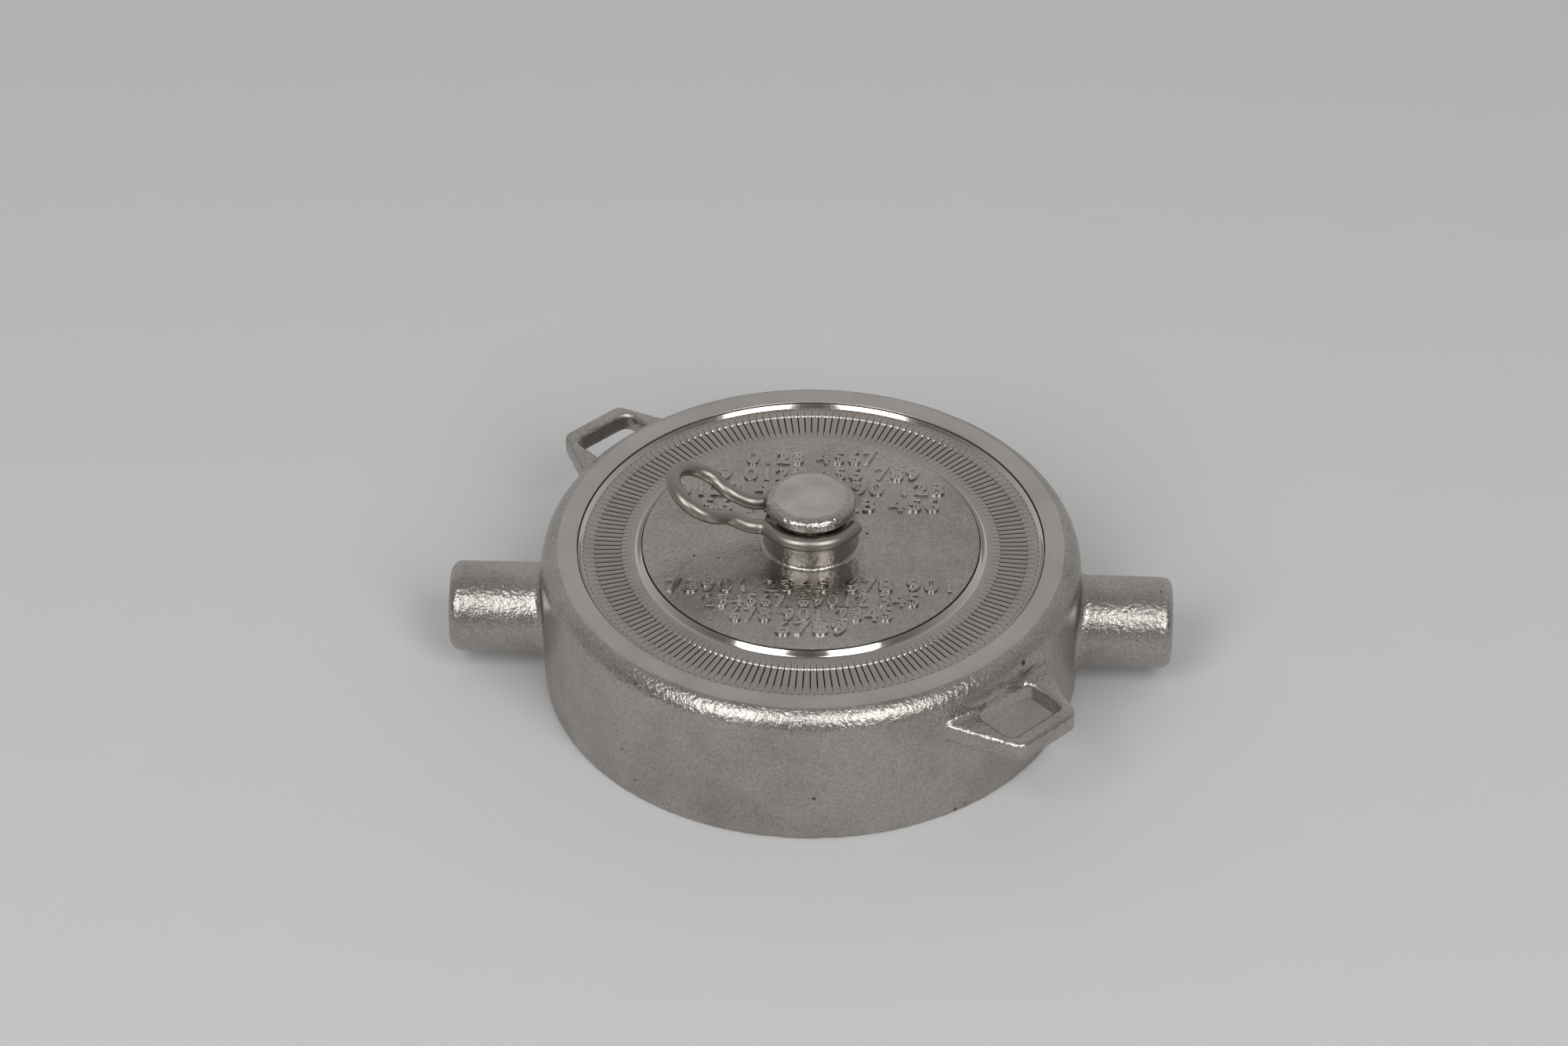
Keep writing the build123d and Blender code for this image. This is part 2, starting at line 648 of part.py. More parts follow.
with BuildPart() as cotter_pin:
    with BuildSketch(Plane.YZ.offset(-COTTER_LENGTH / 2)):
        with Locations((0, COTTER_Z)):
            Circle(COTTER_R)
    extrude(amount=COTTER_LENGTH)
    eye_x = -COTTER_LENGTH / 2 - COTTER_EYE_R
    with BuildLine(Plane.XY.offset(COTTER_Z)) as eye_path:
        CenterArc((eye_x, 0), COTTER_EYE_R, 0, 360)
    with BuildSketch(Plane(origin=eye_path.line @ 0, z_dir=eye_path.line % 0)):
        Circle(COTTER_R)
    sweep(path=eye_path.line)
cotter_pin.part.label = "cotter_pin"
export_step(cotter_pin.part, "parts/cotter_pin.step")

# ---- Knob and its pin ---------------------------------------------------------------

with BuildPart() as lift_knob:
    with BuildSketch(Plane.XY.offset(NECK_LOW_Z)):
        Circle(NECK_R)
    extrude(amount=KNOB_LOW_Z - NECK_LOW_Z)
    with BuildSketch(Plane.XY.offset(KNOB_LOW_Z)):
        Circle(KNOB_R)
    extrude(amount=KNOB_TOP_Z - KNOB_LOW_Z)
    fillet(lift_knob.edges().group_by(Axis.Z)[-1], KNOB_TOP_ROUND)
    knob_under = lift_knob.edges().filter_by(GeomType.CIRCLE).filter_by(
        lambda edge: abs(edge.center().Z - KNOB_LOW_Z) < POSITION_TOL and edge.radius > NECK_R + GAP
    )
    fillet(knob_under, KNOB_UNDER_ROUND)
    ring_of_holes(STEM_R + SLIP, 0, 1, NECK_LOW_Z, STEM_TOP_Z)
    with BuildSketch(Plane.YZ):
        with Locations((0, KNOB_PIN_Z)):
            Circle(KNOB_PIN_R + SLIP)
    extrude(amount=BODY_R, both=True, mode=Mode.SUBTRACT)
lift_knob.part.label = "lift_knob"
export_step(lift_knob.part, "parts/lift_knob.step")

with BuildPart() as knob_pin:
    with BuildSketch(Plane.YZ.offset(-KNOB_PIN_LENGTH / 2)):
        with Locations((0, KNOB_PIN_Z)):
            Circle(KNOB_PIN_R)
    extrude(amount=KNOB_PIN_LENGTH)
knob_pin.part.label = "knob_pin"
export_step(knob_pin.part, "parts/knob_pin.step")

# ---- Wire clip ----------------------------------------------------------------------
# Two jaws hug the neck, two legs run side by side, and a round loop closes them.
# The loop's plane leans up from the bend line.

neck_centre_x = -sqrt((CLIP_R + CLIP_NECK_BEND_R) ** 2 - (CLIP_LEG_HALF + CLIP_NECK_BEND_R) ** 2)
neck_centre_y = -CLIP_LEG_HALF - CLIP_NECK_BEND_R
neck_angle = degrees(atan2(-neck_centre_y, -neck_centre_x))
flare_run = sqrt((LOOP_R + LOOP_FLARE_R) ** 2 - (CLIP_LEG_HALF + LOOP_FLARE_R) ** 2)
flare_s = LOOP_CENTRE_S - flare_run
flare_centre_v = -CLIP_LEG_HALF - LOOP_FLARE_R
flare_angle = degrees(atan2(-flare_centre_v, flare_run))
tilt_tangent = CLIP_TILT_BEND_R * tan(radians(CLIP_TILT / 2))
bend_start_x = CLIP_BEND_X + tilt_tangent
leg_plane = Plane(origin=(0, -CLIP_LEG_HALF, 0), x_dir=(1, 0, 0), z_dir=(0, -1, 0))
loop_plane = Plane(
    origin=(CLIP_BEND_X, 0, CLIP_Z),
    x_dir=(-cos(radians(CLIP_TILT)), 0, sin(radians(CLIP_TILT))),
    z_dir=(-sin(radians(CLIP_TILT)), 0, -cos(radians(CLIP_TILT))),
)

with BuildPart() as clip_wire:
    with BuildLine(Plane.XY.offset(CLIP_Z)) as jaw_path:
        CenterArc((0, 0), CLIP_R, -CLIP_MOUTH_ANGLE, neck_angle + CLIP_MOUTH_ANGLE - 180)
    with BuildLine(Plane.XY.offset(CLIP_Z)) as neck_path:
        CenterArc((neck_centre_x, neck_centre_y), CLIP_NECK_BEND_R, neck_angle, 90 - neck_angle)
    with BuildLine(Plane.XY.offset(CLIP_Z)) as leg_path:
        Line((neck_centre_x, -CLIP_LEG_HALF), (bend_start_x, -CLIP_LEG_HALF))
    with BuildLine(leg_plane) as bend_path:
        CenterArc((bend_start_x, CLIP_Z + CLIP_TILT_BEND_R), CLIP_TILT_BEND_R, -90, -CLIP_TILT)
    with BuildLine(loop_plane) as tilted_leg_path:
        Line((tilt_tangent, -CLIP_LEG_HALF), (flare_s, -CLIP_LEG_HALF))
    with BuildLine(loop_plane) as flare_path:
        CenterArc((flare_s, flare_centre_v), LOOP_FLARE_R, 90, flare_angle - 90)
    with BuildLine(loop_plane) as loop_path:
        CenterArc((LOOP_CENTRE_S, 0), LOOP_R, flare_angle + 180, 180 - flare_angle)
    clip_paths = (
        jaw_path,
        neck_path,
        leg_path,
        bend_path,
        tilted_leg_path,
        flare_path,
        loop_path,
    )
    for path in clip_paths:
        run = path.edges()[0]
        with BuildSketch(Plane(origin=run @ 0, z_dir=run % 0)):
            Circle(CLIP_WIRE_R)
        sweep(path=run)
    mirror(about=Plane.XZ)
with BuildPart() as stem_clip:
    with Locations(Rotation(0, 0, CLIP_TURN)):
        add(clip_wire.part)
stem_clip.part.label = "stem_clip"
export_step(stem_clip.part, "parts/stem_clip.step")
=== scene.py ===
"""Looks for the tank pressure relief vent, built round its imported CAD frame."""

import math

import bmesh
import bpy
from bpy.props import FloatProperty, FloatVectorProperty, IntProperty, PointerProperty
from mathutils import Euler, Matrix, Vector, noise


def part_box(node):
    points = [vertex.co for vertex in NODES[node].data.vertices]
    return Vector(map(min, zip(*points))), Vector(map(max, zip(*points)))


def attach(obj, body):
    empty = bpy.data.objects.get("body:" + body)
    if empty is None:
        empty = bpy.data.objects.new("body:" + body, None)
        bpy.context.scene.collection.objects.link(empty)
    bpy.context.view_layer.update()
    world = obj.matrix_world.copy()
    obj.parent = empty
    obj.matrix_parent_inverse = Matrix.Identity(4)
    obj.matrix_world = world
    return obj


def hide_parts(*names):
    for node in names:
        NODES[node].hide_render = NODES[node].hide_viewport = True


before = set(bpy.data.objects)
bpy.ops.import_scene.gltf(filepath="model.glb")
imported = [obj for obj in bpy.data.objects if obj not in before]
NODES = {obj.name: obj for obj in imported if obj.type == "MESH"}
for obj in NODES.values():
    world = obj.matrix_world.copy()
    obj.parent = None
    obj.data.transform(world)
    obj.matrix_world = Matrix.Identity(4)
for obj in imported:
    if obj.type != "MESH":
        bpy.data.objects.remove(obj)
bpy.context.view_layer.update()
BODY_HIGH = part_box("body_casting")[1]
SCREEN_LOW, SCREEN_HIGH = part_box("screen_ring")
COVER_LOW, COVER_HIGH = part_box("cover_disc")
KNOB_LOW, KNOB_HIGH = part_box("lift_knob")
CLIP_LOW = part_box("stem_clip")[0]
STEM_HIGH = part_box("stem")[1]

bl_info = {
    "name": "Pressure Relief Vent",
    "version": (1, 0, 0),
    "blender": (4, 5, 0),
    "location": "View3D > Sidebar > Relief Vent",
    "description": "Cast skin, slotted screen, cover, knob, clip and studio for a tank relief vent",
    "category": "Object",
}

ROUND_STEPS = 360  # steps round a turned piece
FINE = 1e-6  # points closer than this are one point
ON_FACE = 2e-5  # how near a face lies to the plane it belongs to
CLEAR = 0.002  # how far a cutter reaches past the metal it cuts
# Rows of raised figures on the cover: distance from the stem, width, figures in each group
FIGURE_ROWS = (
    (0.0376, 0.038, (4, 4)),
    (0.0300, 0.062, (2, 4, 3, 3)),
    (0.0230, 0.076, (4, 4, 3, 3)),
    (0.0156, 0.073, (3, 4, 3, 3)),
    (-0.0204, 0.078, (5, 4, 3, 3)),
    (-0.0268, 0.060, (6, 5, 3)),
    (-0.0330, 0.045, (3, 3, 4)),
    (-0.0390, 0.020, (4,)),
)
BEND_STEP = 0.0007  # length of a step along a bend of the wire
CAP_SHARE = 0.7  # height of a figure as a share of its font's size


def length(name, description, default):
    """A length property in metres."""
    return FloatProperty(name=name, description=description, default=default, unit="LENGTH")


def angle(name, description, degrees):
    """An angle property, given in degrees."""
    return FloatProperty(name=name, description=description, default=math.radians(degrees), subtype="ANGLE")


def amount(name, description, default):
    """A plain number property."""
    return FloatProperty(name=name, description=description, default=default)


def tint(name, description, default):
    """A colour property."""
    return FloatVectorProperty(
        name=name, description=description, default=default, subtype="COLOR", size=3, min=0.0, max=1.0
    )


class CastingSizes(bpy.types.PropertyGroup):
    wall_round: length("Corner round", "Cast round between the wall and the top land", 0.0074)
    crown: amount("Crown share", "Stock above the land, as a share of the corner round", 0.085)
    foot_break: length("Foot break", "Chamfer at the foot of the wall", 0.0008)
    land_inner: length("Land inner radius", "Where the machined land stops at the screen", 0.0658)
    ledge: length("Ledge height", "Height of the ledge that carries the screen", SCREEN_LOW.z)
    chamber: length("Chamber radius", "Radius of the flow chamber", 0.062)
    deck_low: length("Deck underside", "Height of the deck's lower face", 0.012)
    deck_top: length("Deck top", "Height of the deck's upper face", 0.017)
    seat_hole: length("Seat hole radius", "Hole in the deck for the seat ring", 0.036)
    socket: length("Socket radius", "Tapping radius of the tank socket", 0.0426)
    socket_top: length("Socket thread top", "Where the tank thread runs out", 0.0104)
    socket_groove: length("Run-out radius", "Radius of the groove above the thread", 0.0434)
    socket_pitch: length("Socket pitch", "Pitch of the tank thread", 0.00306)
    socket_depth: length("Socket thread depth", "Depth of the tank thread", 0.0011)
    socket_chamfer: length("Socket chamfer", "Chamfer at the mouth of the socket", 0.0012)
    jacket_low: length("Jacket lip height", "Where the seat of the jacket cover ends", 0.004)
    jacket_top: length("Jacket top", "Upper end of the steam jacket", 0.036)
    jacket_lip: length("Jacket lip", "Step that seats the jacket cover", 0.0006)
    jacket_inner: length("Jacket inner radius", "Inner wall of the steam jacket", 0.0645)
    jacket_outer: length("Jacket outer radius", "Outer wall of the steam jacket", 0.0732)
    port_height: length("Port height", "Height of the jacket ports", 0.0176)
    port_thread: length("Port thread radius", "Tapping radius of the jacket ports", 0.00735)
    port_pitch: length("Port pitch", "Pitch of the port thread", 0.00141)
    port_depth: length("Port thread depth", "Depth of the port thread", 0.0006)
    port_start: length("Port thread start", "Plain mouth before the port thread", 0.0008)
    port_flare: length("Port flare", "How far the chamfer opens the port's mouth", 0.0028)
    port_length: length("Port thread length", "Depth of the threaded part of a port", 0.016)
    port_bore: length("Port bore radius", "Radius of the bore behind the port thread", 0.0055)
    screw_circle: length("Screw circle", "Radius on which the cover screws stand", 0.049)
    screw_hole: length("Screw hole radius", "Clearance hole of a cover screw", 0.00255)
    counterbore: length("Counterbore radius", "Counterbore of a cover screw", 0.0045)
    counterbore_depth: length("Counterbore depth", "Depth of the counterbore", 0.006)
    skin_step: length("Skin mesh size", "Edge length of the cast skin's mesh", 0.00080)
    unevenness: length("Unevenness", "Height of the broad waves of the cast skin", 0.00012)
    uneven_span: length("Unevenness span", "Width of the broad waves", 0.014)
    peel: length("Orange peel", "Height of the blasted skin's small bumps", 0.00005)
    peel_span: length("Orange peel span", "Width of the small bumps", 0.0021)


class ScreenSizes(bpy.types.PropertyGroup):
    slots: IntProperty(name="Slots", description="Number of radial slots", default=190)
    floor: length("Floor height", "Top of the flats beside the slotted band", 0.042)
    slope: angle("Lip slope", "Slope of the polished lips", 50)
    inner_lip: length("Inner lip radius", "Inner edge of the ring", 0.0477)
    cove: length("Cove radius", "Round where the inner lip runs out", 0.0022)
    outer_lip: length("Outer lip height", "Top of the outer lip", 0.0432)
    slot_inner: length("Slot start", "Radius where the slots start", 0.051)
    slot_outer: length("Slot end", "Radius where the slots end", 0.0638)
    band_inner: length("Band inner radius", "Inner border of the sunk band", 0.0534)
    band_outer: length("Band outer radius", "Outer border of the sunk band", 0.0609)
    band_depth: length("Band depth", "How far the band lies under the floor", 0.00025)
    slot_width: length("Slot width", "Width of a slot in the band", 0.00034)
    tick_width: length("Tick width", "Width of a slot's shallow ends", 0.00020)
    band_crown: length("Band crown", "How far a rib falls to its sides in the band", 0.00020)
    tick_crown: length("Tick crown", "How far a rib falls to its sides beside the band", 0.00006)
    rib_lift: length("Rib lift", "How far a rib's underside lies above the rims' underside", 0.00004)
    taper: amount("Tick taper", "Share by which a slot narrows over its shallow end", 0.9)
    thinnest: amount("Thinnest tick", "Least width of a slot, as a share of the tick width", 0.12)


class CoverSizes(bpy.types.PropertyGroup):
    radius: length("Disc radius", "Radius of the cover's flat top", 0.0474)
    top: length("Disc top", "Height of the cover's flat top", 0.0442)
    underside: length("Plate underside", "Height of the plate's lower face", 0.0402)
    boss: length("Boss radius", "Radius of the stem boss", 0.0132)
    boss_root: length("Boss root round", "Round at the foot of the boss", 0.0012)
    rib_inner: length("Flange inner radius", "Inner radius of the flange under the plate", 0.044)
    skirt: length("Skirt radius", "Radius of the spring pocket's skirt", 0.0136)
    skirt_low: length("Skirt foot", "Lower end of the spring pocket's skirt", 0.036)
    pocket: length("Pocket radius", "Radius of the spring pocket", 0.0106)
    pocket_top: length("Pocket top", "Upper end of the spring pocket", 0.0488)
    bush: length("Bush hole radius", "Hole for the guide bush", 0.007)
    unevenness: length("Unevenness", "Height of the broad waves of the cover's skin", 0.00008)
    uneven_span: length("Unevenness span", "Width of the broad waves", 0.009)
    peel: length("Orange peel", "Height of the small bumps", 0.00003)
    peel_span: length("Orange peel span", "Width of the small bumps", 0.0015)
    figure_height: length("Figure height", "Height of a raised figure on the cover", 0.0055)
    figure_rise: length("Figure rise", "How far the figures stand above the cover", 0.00055)
    figure_swell: length("Figure swell", "How much a figure's strokes are widened", 0.00016)
    figure_round: length("Figure round", "Soft edge of a raised figure", 0.00018)


class KnobSizes(bpy.types.PropertyGroup):
    rim_low: length("Rim underside", "Height of the rim's lower face", 0.0565)
    neck: length("Neck radius", "Radius of the neck under the rim", 0.0112)
    top_round: length("Top round", "Round at the rim's upper edge", 0.0021)
    under_round: length("Under round", "Round at the rim's lower edge", 0.0005)
    dent: length("Dents", "Depth of the cast rim's dents", 0.00024)
    dent_span: length("Dent span", "Width of the dents", 0.0050)
    grain: length("Grain", "Height of the cast rim's grain", 0.00010)
    grain_span: length("Grain span", "Width of the grain", 0.0013)
    stem_hole: length("Stem hole radius", "Radius of the hole for the stem", 0.00505)
    pin_hole: length("Pin hole radius", "Radius of the cross pin's hole", 0.0013)
    pin_height: length("Pin height", "Height of the cross pin", 0.054)


class ClipSizes(bpy.types.PropertyGroup):
    wire: length("Wire radius", "Radius of the clip's wire", 0.0021)
    jaw: length("Jaw radius", "Radius of the jaws' centre line", 0.0135)
    mouth: angle("Mouth", "Half the opening between the ends", 24)
    leg: length("Leg spacing", "Half the distance between the legs", 0.0055)
    neck_bend: length("Neck bend", "Radius where a jaw turns into its leg", 0.004)
    tilt: angle("Loop tilt", "How far the loop is bent up", 30)
    tilt_bend: length("Tilt bend", "Radius of the upward bend", 0.008)
    tilt_x: length("Tilt place", "X of the upward bend's corner", -0.0169)
    loop: length("Loop radius", "Radius of the finger loop", 0.0093)
    loop_reach: length("Loop reach", "Distance of the loop's centre from the bend", 0.0154)
    flare: length("Flare bend", "Radius where a leg turns into the loop", 0.008)
    turn: angle("Turn", "Turn about the stem at rest", 2)


class FinishColours(bpy.types.PropertyGroup):
    casting: tint("Casting", "Blasted cast stainless", (0.52, 0.49, 0.455))
    casting_shade: tint("Casting stain", "Darker clouds on the casting", (0.40, 0.375, 0.34))
    turned: tint("Turned steel", "Machined stainless", (0.55, 0.52, 0.485))
    polished: tint("Polished steel", "Mirror-polished stainless", (0.66, 0.63, 0.60))
    screen: tint("Screen", "Slightly warm stainless", (0.46, 0.415, 0.38))
    wire: tint("Wire", "Drawn stainless wire", (0.35, 0.325, 0.29))
    bronze: tint("Bronze", "Sintered bronze", (0.55, 0.36, 0.17))
    rubber: tint("Rubber", "Black moulded rubber", (0.025, 0.024, 0.023))
    seal: tint("Seal", "Dark brown moulded seal", (0.075, 0.055, 0.045))
    gasket: tint("Gasket", "Off-white gasket sheet", (0.72, 0.70, 0.64))
    paper: tint("Floor", "Pale studio paper", (0.665, 0.662, 0.666))


class StageSizes(bpy.types.PropertyGroup):
    azimuth: angle("Camera azimuth", "Turn round the vent", 2.48)
    elevation: angle("Camera elevation", "Angle above the floor", 38.4)
    roll: angle("Camera roll", "Turn about the view axis", -0.197)
    distance: length("Camera distance", "From the aim point to the camera", 1.3994)
    aim_x: length("Aim X", "Aim point on the floor", -0.0103)
    aim_y: length("Aim Y", "Aim point on the floor", 0.0634)
    lens: amount("Lens", "Focal length in millimetres", 108.0)
    light_power: amount("Softbox power", "Power of each softbox", 22.5)
    box_azimuth: angle("Softbox azimuth", "Turn of each softbox from the front", 32)
    box_elevation: angle("Softbox elevation", "Angle of each softbox above the floor", 41)
    box_distance: length("Softbox distance", "From the vent to each softbox", 2.4)
    box_width: length("Softbox width", "Width of each softbox", 1.0)
    box_height: length("Softbox height", "Height of each softbox", 1.65)
    floor_reach: length("Floor reach", "Half the width of the floor", 8.0)
    room_front: amount("Room behind the camera", "Brightness of the dark room", 0.10)
    room_back: amount("Backdrop", "Brightness of the pale backdrop", 0.54)


# ---- Shapes ----------------------------------------------------------------------------


def rounded(corners, steps=6):
    """Points along an outline of (radius, height, rounding) corners, with an arc at each rounding."""
    points = []
    count = len(corners)
    for index, (radius, height, rounding) in enumerate(corners):
        corner = Vector((radius, height))
        if not rounding:
            points.append(corner)
            continue
        back = (Vector(corners[index - 1][:2]) - corner).normalized()
        ahead = (Vector(corners[(index + 1) % count][:2]) - corner).normalized()
        half = back.angle(ahead) / 2
        centre = corner + (back + ahead).normalized() * rounding / math.sin(half)
        start = corner + back * rounding / math.tan(half) - centre
        end = corner + ahead * rounding / math.tan(half) - centre
        points += [centre + start.slerp(end, step / steps) * rounding for step in range(steps + 1)]
    return points


def finer(points, longest):
    """The closed outline again, with every edge cut into lengths no longer than given."""
    cut = []
    for index, start in enumerate(points):
        end = points[(index + 1) % len(points)]
        parts = int((end - start).length / longest) + 1
        cut += [start.lerp(end, part / parts) for part in range(parts)]
    return cut


def turn_outline(bm, points, steps=ROUND_STEPS):
    """Spins a closed outline of (radius, height) points about Z into bm."""
    verts = [bm.verts.new((point[0], 0, point[1])) for point in points]
    edges = [bm.edges.new(pair) for pair in zip(verts, verts[1:] + verts[:1])]
    before = set(bm.faces)
    bmesh.ops.spin(
        bm, geom=verts + edges, cent=(0, 0, 0), axis=(0, 0, 1), angle=math.tau, steps=steps, use_merge=True
    )
    bmesh.ops.remove_doubles(bm, verts=bm.verts, dist=FINE)
    made = [face for face in bm.faces if face not in before]
    bmesh.ops.recalc_face_normals(bm, faces=made)
    return made


def parts_of(made, kind):
    """The vertices, edges or faces among what an operator made."""
    return [part for part in made if isinstance(part, kind)]


def reach_of(point):
    """Distance of a point from the stem axis."""
    return math.hypot(point.x, point.y)


def coat(piece, *finishes):
    """Adds the named finishes to the piece's mesh, in order; its faces keep their slot numbers."""
    for finish in finishes:
        piece.data.materials.append(bpy.data.materials[finish])


def as_object(bm, name, crease=35.0):
    """The finished bmesh as a smooth-shaded object, its edges sharp above the crease angle."""
    mesh = bpy.data.meshes.new(name)
    bm.to_mesh(mesh)
    bm.free()
    mesh.shade_smooth()
    mesh.set_sharp_from_angle(angle=math.radians(crease))
    piece = bpy.data.objects.new(name, mesh)
    bpy.context.scene.collection.objects.link(piece)
    return piece


def settled(piece):
    """The piece with its modifiers applied to its mesh."""
    graph = bpy.context.evaluated_depsgraph_get()
    mesh = bpy.data.meshes.new_from_object(piece.evaluated_get(graph))
    piece.modifiers.clear()
    piece.data = mesh
    return piece


def cut_with(piece, cutter, name):
    """Cuts the closed cutter out of the closed piece."""
    cut = piece.modifiers.new(name, "BOOLEAN")
    cut.operation = "DIFFERENCE"
    cut.solver = "MANIFOLD"
    cut.object = cutter
    settled(piece)
    bpy.data.objects.remove(cutter)


def roughen(bm, broad, broad_size, fine, fine_size, spared=None):
    """Moves each vertex along its normal by cloudy noise, inwards on the whole; spared ones stay."""
    bm.normal_update()
    moves = {}
    for vert in bm.verts:
        if spared and spared(vert):
            continue
        wave = noise.noise(vert.co / broad_size) * broad
        bump = noise.noise(vert.co / fine_size) * fine + noise.noise(vert.co * 2.3 / fine_size) * fine / 2
        moves[vert] = vert.normal * (wave + bump - broad / 2 - fine)
    for vert, move in moves.items():
        vert.co += move


def thread_outline(low, high, inner, depth, pitch):
    """Zigzag corners of a V thread between two heights."""
    turns = int((high - low) / pitch)
    corners = []
    for turn in range(turns):
        base = low + turn * pitch
        corners += [(inner, base, 0), (inner + depth, base + pitch / 2, 0)]
    return corners + [(inner, low + turns * pitch, 0)]


# ---- Finishes --------------------------------------------------------------------------


def arrange(groups):
    """Puts each titled group of nodes in its own frame, in a column per node."""
    for row, (frame_node, members) in enumerate(groups):
        for column, node in enumerate(members):
            node.parent = frame_node
            node.location = (column * 200, -row * 380)


def cast_finish(name, colour, shade, roughness, peel_size, peel_depth, pits):
    """Blasted casting: cloudy tone, orange peel, sparkling grain and a few pits."""
    material = bpy.data.materials.new(name)
    material.use_nodes = True
    nodes, links = material.node_tree.nodes, material.node_tree.links
    nodes.clear()

    tone = nodes.new("NodeFrame")
    tone.label = "Cloudy tone"
    place = nodes.new("ShaderNodeTexCoord")
    place.label = "Piece coordinates"
    clouds = nodes.new("ShaderNodeTexNoise")
    clouds.label = "Broad stains"
    clouds.inputs["Scale"].default_value = 34.0
    clouds.inputs["Detail"].default_value = 5.0
    clouds.inputs["Roughness"].default_value = 0.6
    cloud_ramp = nodes.new("ShaderNodeValToRGB")
    cloud_ramp.label = "Stain to clean metal"
    cloud_ramp.color_ramp.elements[0].position = 0.32
    cloud_ramp.color_ramp.elements[0].color = (*shade, 1)
    cloud_ramp.color_ramp.elements[1].position = 0.58
    cloud_ramp.color_ramp.elements[1].color = (*colour, 1)
    speckle = nodes.new("ShaderNodeTexNoise")
    speckle.label = "Blasted speckle"
    speckle.inputs["Scale"].default_value = 1300.0
    speckle.inputs["Detail"].default_value = 3.0
    speckle_ramp = nodes.new("ShaderNodeValToRGB")
    speckle_ramp.label = "Speckle strength"
    speckle_ramp.color_ramp.elements[0].position = 0.3
    speckle_ramp.color_ramp.elements[0].color = (0.72, 0.72, 0.72, 1)
    speckle_ramp.color_ramp.elements[1].position = 0.65
    speckle_ramp.color_ramp.elements[1].color = (1, 1, 1, 1)
    speckled = nodes.new("ShaderNodeMix")
    speckled.label = "Tone with speckle"
    speckled.data_type = "RGBA"
    speckled.blend_type = "MULTIPLY"
    speckled.inputs["Factor"].default_value = 1.0

    holes = nodes.new("NodeFrame")
    holes.label = "Casting pits"
    cells = nodes.new("ShaderNodeTexVoronoi")
    cells.label = "Pit places"
    cells.inputs["Scale"].default_value = 210.0
    cells.inputs["Randomness"].default_value = 1.0
    patches = nodes.new("ShaderNodeTexNoise")
    patches.label = "Where pits gather"
    patches.inputs["Scale"].default_value = 60.0
    patch_size = nodes.new("ShaderNodeMapRange")
    patch_size.label = "Pit size by patch"
    patch_size.inputs["From Min"].default_value = 0.52
    patch_size.inputs["From Max"].default_value = 0.72
    patch_size.inputs["To Min"].default_value = 0.0
    patch_size.inputs["To Max"].default_value = pits
    pit_edge = nodes.new("ShaderNodeMath")
    pit_edge.label = "Inside a pit"
    pit_edge.operation = "LESS_THAN"
    pitted = nodes.new("ShaderNodeMix")
    pitted.label = "Dark pits"
    pitted.data_type = "RGBA"
    pitted.inputs["B"].default_value = (*[channel * 0.3 for channel in shade], 1)

    gloss = nodes.new("NodeFrame")
    gloss.label = "Gloss"
    rub = nodes.new("ShaderNodeTexNoise")
    rub.label = "Handled patches"
    rub.inputs["Scale"].default_value = 90.0
    rub.inputs["Detail"].default_value = 4.0
    rub_range = nodes.new("ShaderNodeMapRange")
    rub_range.label = "Roughness range"
    rub_range.inputs["To Min"].default_value = roughness - 0.07
    rub_range.inputs["To Max"].default_value = roughness + 0.09

    relief = nodes.new("NodeFrame")
    relief.label = "Orange peel and grain"
    peel = nodes.new("ShaderNodeTexNoise")
    peel.label = "Orange peel"
    peel.inputs["Scale"].default_value = 1 / peel_size
    peel.inputs["Detail"].default_value = 2.5
    peel_bump = nodes.new("ShaderNodeBump")
    peel_bump.label = "Peel relief"
    peel_bump.inputs["Strength"].default_value = 1.0
    peel_bump.inputs["Distance"].default_value = peel_depth
    grain = nodes.new("ShaderNodeTexNoise")
    grain.label = "Blast grain"
    grain.inputs["Scale"].default_value = 2600.0
    grain.inputs["Detail"].default_value = 1.0
    grain_bump = nodes.new("ShaderNodeBump")
    grain_bump.label = "Grain relief"
    grain_bump.inputs["Strength"].default_value = 1.0
    grain_bump.inputs["Distance"].default_value = peel_depth * 0.22

    result = nodes.new("NodeFrame")
    result.label = "Surface"
    metal = nodes.new("ShaderNodeBsdfPrincipled")
    metal.label = "Cast stainless"
    metal.inputs["Metallic"].default_value = 1.0
    output = nodes.new("ShaderNodeOutputMaterial")
    output.label = "Material"

    arrange([
        (tone, [place, clouds, cloud_ramp, speckle, speckle_ramp, speckled]),
        (holes, [cells, patches, patch_size, pit_edge, pitted]),
        (gloss, [rub, rub_range]),
        (relief, [peel, peel_bump, grain, grain_bump]),
        (result, [metal, output]),
    ])
    links.new(place.outputs["Object"], clouds.inputs["Vector"])
    links.new(place.outputs["Object"], speckle.inputs["Vector"])
    links.new(place.outputs["Object"], cells.inputs["Vector"])
    links.new(place.outputs["Object"], patches.inputs["Vector"])
    links.new(place.outputs["Object"], rub.inputs["Vector"])
    links.new(place.outputs["Object"], peel.inputs["Vector"])
    links.new(place.outputs["Object"], grain.inputs["Vector"])
    links.new(clouds.outputs["Fac"], cloud_ramp.inputs["Fac"])
    links.new(speckle.outputs["Fac"], speckle_ramp.inputs["Fac"])
    links.new(cloud_ramp.outputs["Color"], speckled.inputs["A"])
    links.new(speckle_ramp.outputs["Color"], speckled.inputs["B"])
    links.new(patches.outputs["Fac"], patch_size.inputs["Value"])
    links.new(cells.outputs["Distance"], pit_edge.inputs[0])
    links.new(patch_size.outputs["Result"], pit_edge.inputs[1])
    links.new(pit_edge.outputs["Value"], pitted.inputs["Factor"])
    links.new(speckled.outputs["Result"], pitted.inputs["A"])
    links.new(pitted.outputs["Result"], metal.inputs["Base Color"])
    links.new(rub.outputs["Fac"], rub_range.inputs["Value"])
    links.new(rub_range.outputs["Result"], metal.inputs["Roughness"])
